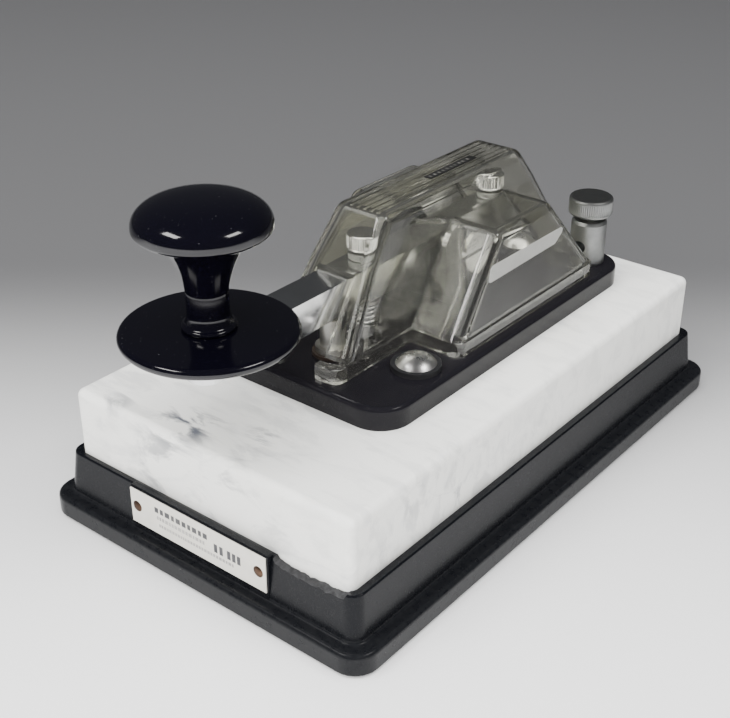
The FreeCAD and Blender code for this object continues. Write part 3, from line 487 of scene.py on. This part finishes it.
def turned(x, y, profile, segments, depths=None):
    """Surface of revolution through (radius, z) points. depths cuts teeth into the rings it names."""
    bm = bmesh.new()
    rows = []
    for index, (radius, z) in enumerate(profile):
        if radius < 1e-6:
            rows.append([bm.verts.new((x, y, z))])
            continue
        depth = (depths or {}).get(index, 0.0)
        row = []
        for step in range(segments):
            angle = 2 * math.pi * step / segments
            r = radius - depth * TOOTH[step % len(TOOTH)]
            row.append(bm.verts.new((x + r * math.cos(angle), y + r * math.sin(angle), z)))
        rows.append(row)
    for lower, upper in zip(rows, rows[1:]):
        for i in range(segments):
            j = (i + 1) % segments
            corners = [lower[i % len(lower)], lower[j % len(lower)],
                       upper[j % len(upper)], upper[i % len(upper)]]
            corners = [v for k, v in enumerate(corners) if v not in corners[:k]]
            if len(corners) > 2:
                bm.faces.new(corners)
    for row, flip in ((rows[0], True), (rows[-1], False)):
        if len(row) > 1:
            bm.faces.new(row[::-1] if flip else row)
    return bm


def merged(parts):
    """One bmesh out of several."""
    whole = bmesh.new()
    for part in parts:
        mesh = bpy.data.meshes.new("part")
        part.to_mesh(mesh)
        part.free()
        whole.from_mesh(mesh)
        bpy.data.meshes.remove(mesh)
    return whole


# ---------------------------------------------------------------- tray

WALL_FOOT_SPREAD = 1.05
WALL_TOP_HALF = (47.5, 80.75)
WALL_TOP_Z = 18.0
WALL_CORNER_R = 3.5
FLANGE_TOP_Z = 5.8
FLANGE_CORNER_R = 6.5
MARBLE_GAP = 0.2
PAD_FRONT_Y = -82.1
PAD_HALF_X = 23.0
PAD_TOP_Z = 18.6
CHIP_X = (23.5, 44.8)
CHIP_PAST_WALL = (2.5, 3.2)
CHIP_OUTER_Z = 15.4
CHIP_INNER_Z = (16.4, 17.4)
CHIP_END_RISE = 1.5
FOOT_SOCKET_R = 6.1
FOOT_PLAY = 0.1
BOLT_PLACES = [(-21.3, -24.8), (21.3, -24.8), (0.0, 53.5)]
NUT_RECESS_R = 6.0
NUT_RECESS_Z = 4.2


def tray_rings():
    """Outlines of the tray from its underside, up the outside and down into the cavity."""
    half_x = (tray_high.x - tray_low.x) / MM / 2
    half_y = (tray_high.y - tray_low.y) / MM / 2
    low_edge, flange_edge, foot_fillet, wall_edge = 0.5, 1.3, 0.9, 0.55
    foot_x = WALL_TOP_HALF[0] + WALL_FOOT_SPREAD
    foot_y = WALL_TOP_HALF[1] + WALL_FOOT_SPREAD
    rings = []

    def add(inset_from, inset, radius, z):
        x, y = inset_from
        rings.append(ring_outline(x - inset, y - inset, max(radius - inset, 0.3), z))

    flange = (half_x, half_y)
    foot = (foot_x, foot_y)
    for cos, sin in quarter(3):
        add(flange, low_edge * (1 - sin), FLANGE_CORNER_R, low_edge * (1 - cos))
    for cos, sin in quarter(5):
        add(flange, flange_edge * (1 - cos), FLANGE_CORNER_R, FLANGE_TOP_Z - flange_edge * (1 - sin))
    for cos, sin in quarter(4):
        add(foot, -foot_fillet * (1 - sin), WALL_CORNER_R, FLANGE_TOP_Z + foot_fillet * (1 - cos))
    for cos, sin in quarter(4):
        add(WALL_TOP_HALF, wall_edge * (1 - cos), WALL_CORNER_R, WALL_TOP_Z - wall_edge * (1 - sin))
    marble_low, marble_high = span("marble_block")
    cavity = (marble_high.x + MARBLE_GAP, marble_high.y + MARBLE_GAP)
    inner_edge = 0.3
    for cos, sin in quarter(2):
        add(cavity, -inner_edge * (1 - sin), 2.0, WALL_TOP_Z - inner_edge * (1 - cos))
    add(cavity, 0.0, 2.0, marble_low.z)
    return rings


def chip_cutter():
    """Wedge with a ragged underside, the size of what is missing from the lip."""
    outer_y = -WALL_TOP_HALF[1] - CHIP_PAST_WALL[0]
    inner_y = -WALL_TOP_HALF[1] + CHIP_PAST_WALL[1]
    columns, rows = 44, 12
    bm = bmesh.new()
    grid = []
    for i in range(columns + 1):
        along = i / columns
        x = CHIP_X[0] + (CHIP_X[1] - CHIP_X[0]) * along
        inner_z = CHIP_INNER_Z[0] + (CHIP_INNER_Z[1] - CHIP_INNER_Z[0]) * along
        away_from_ends = math.sin(math.pi * along) ** 0.25
        line = []
        for j in range(rows + 1):
            across = j / rows
            z = CHIP_OUTER_Z + (inner_z - CHIP_OUTER_Z) * across
            rough = noise.noise(Vector((x * 0.55, across * 3.0, 1.7))) * 0.55
            rough += noise.noise(Vector((x * 1.7, across * 8.0, 5.1))) * 0.25
            z += rough * away_from_ends + (1 - away_from_ends) * CHIP_END_RISE
            line.append(bm.verts.new((x, outer_y + (inner_y - outer_y) * across, z)))
        grid.append(line)
    lid = [[bm.verts.new((v.co.x, v.co.y, PAD_TOP_Z + 2)) for v in line] for line in grid]
    for i in range(columns):
        for j in range(rows):
            bm.faces.new((grid[i][j], grid[i + 1][j], grid[i + 1][j + 1], grid[i][j + 1]))
            bm.faces.new((lid[i][j + 1], lid[i + 1][j + 1], lid[i + 1][j], lid[i][j]))
    for i in range(columns):
        for j, flip in ((0, False), (rows, True)):
            side = [grid[i][j], lid[i][j], lid[i + 1][j], grid[i + 1][j]]
            bm.faces.new(side[::-1] if flip else side)
    for j in range(rows):
        for i, flip in ((0, True), (columns, False)):
            side = [grid[i][j], lid[i][j], lid[i][j + 1], grid[i][j + 1]]
            bm.faces.new(side[::-1] if flip else side)
    return bm


def make_tray():
    """Tray with its nameplate pad, the recesses under it and the chipped lip."""
    tray = object_from(skin(tray_rings()), "tray_moulding")
    pad = block(-PAD_HALF_X, PAD_HALF_X, PAD_FRONT_Y, -WALL_TOP_HALF[1] + 1.0,
                FLANGE_TOP_Z - 0.5, PAD_TOP_Z, 0.45, 3)
    combine(tray, object_from(pad, "pad"), "UNION")
    sockets = []
    feet_low, feet_high = span("rubber_feet")
    foot_r = FOOT_SOCKET_R - FOOT_PLAY
    for x in (feet_low.x + foot_r, feet_high.x - foot_r):
        for y in (feet_low.y + foot_r, feet_high.y - foot_r):
            sockets.append(cylinder(x, y, -1.0, feet_high.z, FOOT_SOCKET_R))
    for x, y in BOLT_PLACES:
        sockets.append(cylinder(x, y, -1.0, NUT_RECESS_Z, NUT_RECESS_R))
    combine(tray, object_from(merged(sockets), "sockets"), "DIFFERENCE")
    combine(tray, object_from(chip_cutter(), "chip"), "DIFFERENCE")
    tray.data.materials.clear()
    tray.data.materials.append(TRAY)
    tray.data.materials.append(BROKEN)
    for face in tray.data.polygons:
        x, y, z = face.center
        inside = CHIP_X[0] - 0.1 < x < CHIP_X[1] + 0.1 and y < -WALL_TOP_HALF[1] + 2.2
        face.material_index = int(inside and z > CHIP_OUTER_Z - 0.6 and face.area < 3.0
                                  and (face.normal.z > 0.4 or abs(face.normal.x) > 0.6))
    settle(tray, "root", TRAY, ["base_tray"], 30.0)


# ---------------------------------------------------------------- dust cover

# The sloping ends are lines through (y, z) points. The spine holds the lever and the hood the pivot.
COVER_WALL = 1.7
RIM_TOP_Z = 46.6
RIM_PROUD = 0.5
RIM_CORNER_R = 3.0
SPINE_TOP_Z = 77.8
SPINE_FOOT_HALF_X = 12.4
SPINE_TOP_HALF_X = 8.3
SPINE_FRONT = [(-44.8, 46.6), (-29.6, 66.0), (-22.2, 77.8)]
SPINE_REAR = [(62.5, 46.6), (54.4, 58.6), (49.4, 66.5), (40.6, 77.8)]
HOOD_TOP_Z = 69.2
HOOD_FOOT_HALF_X = 27.5
HOOD_TOP_HALF_X = 24.4
HOOD_FRONT = [(-15.0, 46.6), (5.5, 69.2)]
HOOD_REAR = [(50.6, 46.6), (31.5, 69.2)]
DOOR_HALF_X = 5.9
DOOR_TOP_Z = 64.0
DOOR_REAR_Y = -24.0
OUTER_ROUND = 3.5
INNER_ROUND = 1.8
BALL_RINGS = 14
RIB_COUNT = 6
RIB_PITCH = 2.1
GROOVE_DEPTH = 0.35
GROOVE_HALF_WIDTH = 0.55
GROOVE_END_GAP = 1.6


def facing(p, q, axis):
    """Plane through two (horizontal, z) points, with its normal outwards."""
    run_h, run_z = q[0] - p[0], q[1] - p[1]
    normal = (axis * run_z - UP * run_h).normalized()
    return normal, axis * p[0] + UP * p[1]


def side_planes(foot_half_x, foot_z, top_half_x, top_z):
    """Both flanks of the spine or the hood."""
    return [facing((foot_half_x, foot_z), (top_half_x, top_z), side) for side in (ACROSS, -ACROSS)]


def end_planes(front, rear, top_z):
    """Top, front and rear slopes of the spine or the hood."""
    planes = [(UP, UP * top_z)]
    for p, q in zip(front, front[1:]):
        planes.append(facing((-p[0], p[1]), (-q[0], q[1]), -ALONG))
    for p, q in zip(rear, rear[1:]):
        planes.append(facing(p, q, ALONG))
    return planes


def ball_directions(rings, around):
    """Unit vectors spread evenly over a ball."""
    directions = [UP, -UP]
    for ring in range(1, rings):
        lean = math.pi * ring / rings
        for step in range(around):
            turn = 2 * math.pi * step / around
            directions.append(Vector((math.sin(lean) * math.cos(turn), math.sin(lean) * math.sin(turn),
                                      math.cos(lean))))
    return directions


def keep_inside(bm, normal, point):
    """Cuts a convex solid at a plane and closes it again."""
    everything = bm.verts[:] + bm.edges[:] + bm.faces[:]
    cut = bmesh.ops.bisect_plane(bm, geom=everything, plane_co=point, plane_no=normal, clear_outer=True)
    edges = [e for e in cut["geom_cut"] if isinstance(e, bmesh.types.BMEdge)]
    if edges:
        bmesh.ops.contextual_create(bm, geom=edges)


def rounded_within(planes, inset, radius, bottom_z):
    """Solid on the inner side of every plane, moved inwards by inset, with all edges rounded."""
    core = bmesh.new()
    bmesh.ops.create_cube(core, size=400.0)
    moved = [(normal, point - normal * (inset + radius)) for normal, point in planes]
    for normal, point in moved + [(-UP, UP * (bottom_z - 2 * radius))]:
        keep_inside(core, normal, point)
    rounded = bmesh.new()
    ball = ball_directions(BALL_RINGS, 2 * BALL_RINGS)
    for corner in core.verts:
        touching = [normal for normal, point in moved if abs((corner.co - point).dot(normal)) < 0.001]
        for direction in ball + touching:
            rounded.verts.new(corner.co + direction * radius)
    core.free()
    bmesh.ops.convex_hull(rounded, input=rounded.verts[:])
    bmesh.ops.delete(rounded, geom=[v for v in rounded.verts if not v.link_faces], context="VERTS")
    bmesh.ops.dissolve_limit(rounded, angle_limit=math.radians(0.4), verts=rounded.verts[:],
                             edges=rounded.edges[:])
    keep_inside(rounded, -UP, UP * bottom_z)
    return rounded


def rim_band(grow, z0, z1, edge):
    """Upright band at the cover's foot: the outline of spine and hood together."""
    bands = []
    for half_x, front, rear in ((SPINE_FOOT_HALF_X, SPINE_FRONT[0][0], SPINE_REAR[0][0]),
                                (HOOD_FOOT_HALF_X, HOOD_FRONT[0][0], HOOD_REAR[0][0])):
        middle = ALONG * (front + rear) / 2
        half_y = (rear - front) / 2 + grow
        rings = []
        for inset, z in ((edge, z0), (0.0, z0 + edge), (0.0, z1 - edge), (edge, z1)):
            ring = ring_outline(half_x + grow - inset, half_y - inset, RIM_CORNER_R, z)
            rings.append([point + middle for point in ring])
        bands.append(object_from(skin(rings), "band"))
    combine(bands[0], bands[1], "UNION")
    return bands[0]


def cover_body(inset, radius):
    """Spine and hood together."""
    bottom_z = RIM_TOP_Z - 0.1
    spine_sides = side_planes(SPINE_FOOT_HALF_X, RIM_TOP_Z, SPINE_TOP_HALF_X, SPINE_TOP_Z)
    hood_sides = side_planes(HOOD_FOOT_HALF_X, RIM_TOP_Z, HOOD_TOP_HALF_X, HOOD_TOP_Z)
    spine = rounded_within(spine_sides + end_planes(SPINE_FRONT, SPINE_REAR, SPINE_TOP_Z),
                           inset, radius, bottom_z)
    hood = rounded_within(hood_sides + end_planes(HOOD_FRONT, HOOD_REAR, HOOD_TOP_Z),
                          inset, radius, bottom_z)
    body = object_from(spine, "spine")
    combine(body, object_from(hood, "hood"), "UNION")
    return body


# Outline of the pale band on the hood's flank, a painted reflection of the overhead light on its ledge, as
# (y, z), and how far it stands on the surface.
REFLECTION_BAND_OUTLINE = [(-0.9, 57.9), (0.0, 57.5), (31.0, 57.7), (34.6, 59.6), (35.4, 60.6), (34.6, 61.3),
                (1.4, 61.6), (0.4, 60.9)]
REFLECTION_BAND_PROUD = 0.04


def make_painted_reflection_band(side):
    """Thin pale band along one flank of the hood: a painted reflection of the overhead light."""
    lean = (HOOD_FOOT_HALF_X - HOOD_TOP_HALF_X) / (HOOD_TOP_Z - RIM_TOP_Z)
    rings = []
    for proud in (-REFLECTION_BAND_PROUD, REFLECTION_BAND_PROUD):
        rings.append([Vector((side * (HOOD_FOOT_HALF_X - lean * (z - RIM_TOP_Z) + proud), y, z))
                      for y, z in REFLECTION_BAND_OUTLINE])
    band = object_from(skin(rings), "painted_reflection_band_" + ("right" if side > 0 else "left"))
    settle(band, "cover", PAINTED_REFLECTION, weighted=False)


def make_cover():
    """Hollow cover with its rim, doorway, grooves and pale bands of painted reflection."""
    foot_z = span("dust_cover")[0].z
    shell = cover_body(0.0, OUTER_ROUND)
    combine(shell, rim_band(RIM_PROUD, foot_z, RIM_TOP_Z, 0.35), "UNION")
    hollow = cover_body(COVER_WALL, INNER_ROUND)
    combine(hollow, rim_band(-COVER_WALL, foot_z - 2.0, RIM_TOP_Z + 0.2, 0.05), "UNION")
    combine(shell, hollow, "DIFFERENCE")
    door = block(-DOOR_HALF_X, DOOR_HALF_X, SPINE_FRONT[0][0] - 5, DOOR_REAR_Y, foot_z - 2, DOOR_TOP_Z)
    combine(shell, object_from(door, "door"), "DIFFERENCE")
    grooves = []
    first = -RIB_PITCH * (RIB_COUNT - 1) / 2
    groove_y = (SPINE_FRONT[-1][0] + GROOVE_END_GAP, SPINE_REAR[-1][0] - GROOVE_END_GAP)
    for i in range(RIB_COUNT):
        x = first + RIB_PITCH * i
        grooves.append(block(x - GROOVE_HALF_WIDTH, x + GROOVE_HALF_WIDTH, *groove_y,
                             SPINE_TOP_Z - GROOVE_DEPTH, SPINE_TOP_Z + 1))
    combine(shell, object_from(merged(grooves), "grooves"), "DIFFERENCE")
    shell.name = "clear_cover"
    # Pale bands on both flanks of the hood: painted reflection of the overhead light.
    for side in (-1, 1):
        make_painted_reflection_band(side)
    shell.data.materials.clear()
    settle(shell, "cover", ACRYLIC, ["dust_cover"], 28.0)


# ---------------------------------------------------------------- screws, heads and spring


THREAD_DEPTH = 0.45
SPRING_TURNS = 6.5
SPRING_CLOSED_TURNS = 0.75
SPRING_WIRE_R = 0.4
SPRING_PLAY = 0.3


def knurled_head(name, node_name, body, material, teeth, depth, bevel, dish=0.0):
    """Round head with a straight knurl between two rounded, plain rims."""
    low, high = span(node_name)
    x, y = (low.x + high.x) / 2, (low.y + high.y) / 2
    radius = (high.x - low.x) / 2
    z0, z1 = low.z, high.z
    rim = [(radius - bevel * (1 - cos), bevel * (1 - sin)) for cos, sin in quarter(5)]
    lower = [(r, z0 + inset) for r, inset in rim[::-1]]
    upper = [(r, z1 - inset) for r, inset in rim]
    band = [(radius, z0 + bevel + 0.15), (radius, z1 - bevel - 0.15)]
    profile = [(0.0, z0)] + lower + band + upper + [(radius * 0.55, z1 - dish), (0.0, z1 - dish)]
    first_toothed = 1 + len(lower)
    head = turned(x, y, profile, teeth * len(TOOTH), {first_toothed: depth, first_toothed + 1: depth})
    made = object_from(head, name)
    settle(made, body, material, [node_name], 25.0, weighted=False)


def threaded_rod(name, node_name, body, material, pitch):
    """Screw shank with a helical thread."""
    low, high = span(node_name)
    x, y = (low.x + high.x) / 2, (low.y + high.y) / 2
    radius = (high.x - low.x) / 2
    around, per_pitch = 32, 6
    depth = THREAD_DEPTH * pitch
    count = int((high.z - low.z) / pitch * per_pitch)
    rings = []
    for level in range(count + 1):
        z = low.z + (high.z - low.z) * level / count
        fade = min(1.0, level / per_pitch, (count - level) / per_pitch)
        ring = []
        for step in range(around):
            phase = ((z / pitch) - step / around) % 1.0
            groove = abs(2 * phase - 1)
            r = radius - depth * groove * fade - (1 - fade) * depth * 0.5
            angle = 2 * math.pi * step / around
            ring.append(Vector((x + r * math.cos(angle), y + r * math.sin(angle), z)))
        rings.append(ring)
    made = object_from(skin(rings), name)
    settle(made, body, material, [node_name], 60.0, weighted=False)


def make_spring():
    """Compression spring with closed end coils."""
    low, high = span("return_spring")
    x, y = (low.x + high.x) / 2, (low.y + high.y) / 2
    coil_r = (high.x - low.x) / 2 - SPRING_WIRE_R
    bottom, top = low.z + SPRING_WIRE_R, high.z - SPRING_WIRE_R - SPRING_PLAY
    steps_per_turn, around = 28, 10
    total = int(SPRING_TURNS * steps_per_turn)
    end_rise = SPRING_CLOSED_TURNS * 2 * SPRING_WIRE_R
    path = []
    for step in range(total + 1):
        turn = step / steps_per_turn
        open_turns = SPRING_TURNS - 2 * SPRING_CLOSED_TURNS
        share = min(max((turn - SPRING_CLOSED_TURNS) / open_turns, 0.0), 1.0)
        from_start = min(turn / SPRING_CLOSED_TURNS, 1.0)
        from_end = min((SPRING_TURNS - turn) / SPRING_CLOSED_TURNS, 1.0)
        z = bottom + end_rise + (top - bottom - 2 * end_rise) * share
        z += (from_start - from_end) * end_rise if share in (0.0, 1.0) else 0.0
        z = min(max(z, bottom), top)
        angle = 2 * math.pi * turn
        path.append(Vector((x + coil_r * math.cos(angle), y + coil_r * math.sin(angle), z)))
    rings = []
    for i, point in enumerate(path):
        ahead = path[min(i + 1, total)] - path[max(i - 1, 0)]
        outward = Vector((point.x - x, point.y - y, 0)).normalized()
        upward = ahead.cross(outward).normalized()
        ring = [point + SPRING_WIRE_R * (outward * math.cos(a) + upward * math.sin(a))
                for a in [2 * math.pi * k / around for k in range(around)]]
        rings.append(ring)
    made = object_from(skin(rings), "coil_spring")
    settle(made, "root", SPRING_STEEL, ["return_spring"], 60.0, weighted=False)
    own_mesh(made)


# ---------------------------------------------------------------- knob and skirt

KNOB_EQUATOR_ABOVE_FOOT = 24.3
KNOB_UNDER_DEPTH = 3.6
KNOB_CAP_START_R = 11.0
KNOB_FOOT_R = 6.3
KNOB_FOOT_THICKNESS = 1.3
KNOB_FOOT_EDGE = 0.6
# Below 1 the crown is fuller than an ellipse.
CROWN_POWER = 0.86
# Radius of the knob's stem at heights above its foot.
KNOB_STEM = [(5.4, 1.7), (4.9, 3.2), (4.8, 4.6), (4.8, 6.6), (4.83, 8.6), (4.97, 10.0), (5.7, 12.9),
             (6.85, 16.1), (8.6, 19.4)]


def smooth_through(points, steps):
    """Catmull-Rom curve through (radius, z) points."""
    curve = []
    padded = [points[0]] + points + [points[-1]]
    for a, b, c, d in zip(padded, padded[1:], padded[2:], padded[3:]):
        for step in range(steps):
            t = step / steps
            curve.append(tuple(0.5 * (2 * q + (r - p) * t + (2 * p - 5 * q + 4 * r - v) * t * t
                                      + (3 * q - p - 3 * r + v) * t ** 3)
                               for p, q, r, v in zip(a, b, c, d)))
    return curve + [points[-1]]


def make_knob():
    """Lathe-turned knob and its finger guard."""
    low, high = span("knob")
    x, y = (low.x + high.x) / 2, (low.y + high.y) / 2
    cap_r = (high.x - low.x) / 2
    equator = low.z + KNOB_EQUATOR_ABOVE_FOOT
    crown = high.z - equator
    foot_edge_r = KNOB_FOOT_R - KNOB_FOOT_EDGE
    foot = [(0.0, low.z), (foot_edge_r, low.z)]
    foot += [(foot_edge_r + KNOB_FOOT_EDGE * sin, low.z + KNOB_FOOT_EDGE * (1 - cos))
             for cos, sin in quarter(3)[1:]]
    foot += [(foot_edge_r + KNOB_FOOT_EDGE * cos, low.z + KNOB_FOOT_THICKNESS - KNOB_FOOT_EDGE * (1 - sin))
             for cos, sin in quarter(4)]
    last = math.acos(KNOB_CAP_START_R / cap_r)
    joint = (KNOB_CAP_START_R, equator - KNOB_UNDER_DEPTH * math.sin(last))
    stem = smooth_through([(r, low.z + h) for r, h in KNOB_STEM] + [joint], 6)
    under_steps = 12
    under = [(cap_r * math.cos(a), equator - KNOB_UNDER_DEPTH * math.sin(a))
             for a in [last * (1 - i / under_steps) for i in range(1, under_steps)]]
    over = [(cap_r * cos ** CROWN_POWER, equator + crown * sin ** CROWN_POWER)
            for cos, sin in [(max(0.0, c), min(1.0, s)) for c, s in quarter(28)]]
    over[-1] = (0.0, high.z)
    body = turned(x, y, foot + stem + under + over, 96)
    settle(object_from(body, "turned_knob"), "lever", GLOSS, ["knob"], 50.0, weighted=False)
    low, high = span("knob_skirt")
    radius = (high.x - low.x) / 2
    rim = (high.z - low.z) / 2
    lower = [(radius - rim * (1 - cos), low.z + rim * (1 - sin)) for cos, sin in quarter(8)[::-1]]
    upper = [(radius - rim * (1 - cos), high.z - rim * (1 - sin)) for cos, sin in quarter(8)]
    disc = turned(x, y, [(0.0, low.z)] + lower + upper[1:] + [(0.0, high.z)], 128)
    settle(object_from(disc, "finger_guard"), "lever", GLOSS, ["knob_skirt"], 50.0,
           weighted=False)


# ---------------------------------------------------------------- nameplate and label


MARK_PROUD = 0.03
MARK_SUNK = 0.05
# Rows of plain marks: the row's height, a mark's height, where the row starts and ends, a mark's length.
PLATE_ROWS = [
    (15.3, 1.5, -14.0, 4.4, 1.7),
    (13.1, 1.0, -13.4, 3.2, 0.95),
    (11.0, 0.85, -12.8, 12.4, 0.8),
]
PLATE_BARS_X = (6.1, 7.9, 10.4, 12.0, 13.6)
PLATE_BAR_WIDTH = 1.1
PLATE_BARS_Z = (12.2, 14.6)
LABEL_MARGIN = 0.8
LABEL_ENDS = (1.2, 1.6)


def make_nameplate():
    """Plate with rows of plain marks in place of words."""
    low, high = span("nameplate")
    plate = block(low.x, high.x, low.y, high.y, low.z, high.z, 0.12)
    settle(object_from(plate, "name_plate"), "root", PLATE, ["nameplate"])
    draw = random.Random(7)
    mark_y = (low.y - MARK_PROUD, low.y + MARK_SUNK)
    parts = {"dark": [], "pale": []}
    for index, (z, height, start, end, length) in enumerate(PLATE_ROWS):
        x = start
        while x < end:
            width = length * draw.uniform(0.55, 1.15)
            bar = block(x, x + width, *mark_y, z - height / 2, z + height / 2)
            parts["dark" if index == 0 else "pale"].append(bar)
            x += width + length * 0.35
    for x in PLATE_BARS_X:
        parts["dark"].append(block(x, x + PLATE_BAR_WIDTH, *mark_y, *PLATE_BARS_Z))
    for key, ink in (("dark", INK), ("pale", PALE_INK)):
        marks = object_from(merged(parts[key]), "plate_marks_" + key)
        settle(marks, "root", ink, weighted=False)


def make_label():
    """Black strip with a row of pale ticks."""
    low, high = span("cover_label")
    strip = block(low.x, high.x, low.y, high.y, low.z, high.z - MARK_PROUD, 0.04)
    settle(object_from(strip, "label_strip"), "cover", LABEL, ["cover_label"])
    draw = random.Random(11)
    ticks = []
    y = low.y + LABEL_ENDS[0]
    while y < high.y - LABEL_ENDS[1]:
        width = draw.uniform(0.35, 0.7)
        ticks.append(block(low.x + LABEL_MARGIN, high.x - LABEL_MARGIN, y, y + width,
                           high.z - MARK_SUNK, high.z))
        y += width + draw.uniform(1.0, 1.6)
    marks = object_from(merged(ticks), "label_ticks")
    settle(marks, "cover", LABEL_MARK, weighted=False)


# ---------------------------------------------------------------- assembly

PAINTED = [
    (MARBLE, ["marble_block"]),
    (RUBBER, ["rubber_feet"]),
    (BRONZE, ["nameplate_rivets"]),
    (BAKELITE, ["sub_base"]),
    (DULL_CHROME, ["base_bolts"]),
    (WASHER, ["bolt_seat_washers"]),
    (STEEL, ["base_bolt_washers", "base_bolt_nuts", "pivot_frame_screws", "rear_stop", "knob_stud",
             "lower_contact", "contact_nut", "terminal_post_nuts", "spring_seat"]),
    (FRAME_PAINT, ["pivot_frame"]),
    (CHROME, ["bearing_outer_rings", "bearing_inner_rings", "bearing_balls", "pivot_shaft",
              "pivot_spacers", "bearing_caps"]),
    (POLISHED, ["lever", "spring_cup"]),
    (NICKEL, ["terminal_post_left", "terminal_post_right"]),
    (SILVER, ["upper_contact", "lower_contact_tip"]),
    (FIBRE, ["contact_insulator"]),
    (BRASS, ["conductor_strap_left", "conductor_strap_right"]),
]


def paint(obj, material):
    """Gives every material slot of a CAD node one material."""
    for slot in obj.material_slots:
        slot.material = material


for material, names in PAINTED:
    for name in names:
        paint(nodes[name], material)

make_tray()
make_cover()
make_knob()
make_spring()
make_nameplate()
make_label()
for side in ("left", "right"):
    knurled_head("clamp_knurl_" + side, "terminal_screw_head_" + side, "clamp_head_" + side,
                 NICKEL, 64, 0.16, 0.9, 0.1)
    threaded_rod("clamp_thread_" + side, "terminal_screw_shank_" + side, "clamp_shank_" + side,
                 STEEL, 0.8)
for job, name in (("tension", "tension_screw"), ("gap", "gap_screw")):
    knurled_head(job + "_knurl", name + "_head", job + "_head", CHROME, 40, 0.2, 0.4)
    threaded_rod(job + "_thread", name + "_shank", job + "_shank", STEEL, 0.7)
    knurled_head(job + "_nut_knurl", job + "_lock_nut", job + "_nut", NICKEL, 36, 0.18, 0.3)


# ---------------------------------------------------------------- floor and light


def add_floor():
    """Plain round floor, with painted shade darkening it behind the key."""
    bm = bmesh.new()
    bmesh.ops.create_circle(bm, cap_ends=True, segments=96, radius=4.0)
    mesh = bpy.data.meshes.new("floor")
    bm.to_mesh(mesh)
    bm.free()
    mesh.materials.append(floor_painted_falloff())
    floor = bpy.data.objects.new("floor", mesh)
    bpy.context.scene.collection.objects.link(floor)


def add_lamp(name, azimuth_deg, elevation_deg, distance, width, height, watts, colour, glossy=True):
    """Softbox that faces the middle of the object."""
    data = bpy.data.lights.new(name, "AREA")
    data.shape = "RECTANGLE"
    data.size = width
    data.size_y = height
    data.energy = watts
    data.color = colour
    lamp = bpy.data.objects.new(name, data)
    bpy.context.scene.collection.objects.link(lamp)
    back = back_vector(math.radians(azimuth_deg), math.radians(elevation_deg))
    lamp.location = Vector((0, 0, 0.04)) + back * distance
    lamp.rotation_mode = "QUATERNION"
    lamp.rotation_quaternion = back.to_track_quat("Z", "Y")
    lamp.visible_glossy = glossy


def add_world():
    """Dim, even surroundings for reflections."""
    world = bpy.data.worlds.new("studio")
    world.use_nodes = True
    background = world.node_tree.nodes["Background"]
    background.inputs["Color"].default_value = (0.42, 0.43, 0.45, 1.0)
    background.inputs["Strength"].default_value = 0.17
    bpy.context.scene.world = world


add_floor()
add_world()
WARM = (1.0, 0.985, 0.96)
COOL = (0.98, 0.985, 1.0)
# The two small boxes make the highlights on knob and metal, and the large fills give even light.
add_lamp("front_left_box", -24.0, 52.0, 0.75, 0.28, 0.12, 1.9, WARM)
add_lamp("front_right_box", 102.0, 52.0, 0.75, 0.26, 0.12, 1.6, WARM)
add_lamp("overhead_fill", 20.0, 70.0, 1.2, 2.2, 2.2, 56.0, COOL, glossy=False)
add_lamp("front_fill", 20.0, 28.0, 1.1, 1.2, 0.7, 14.0, WARM, glossy=False)
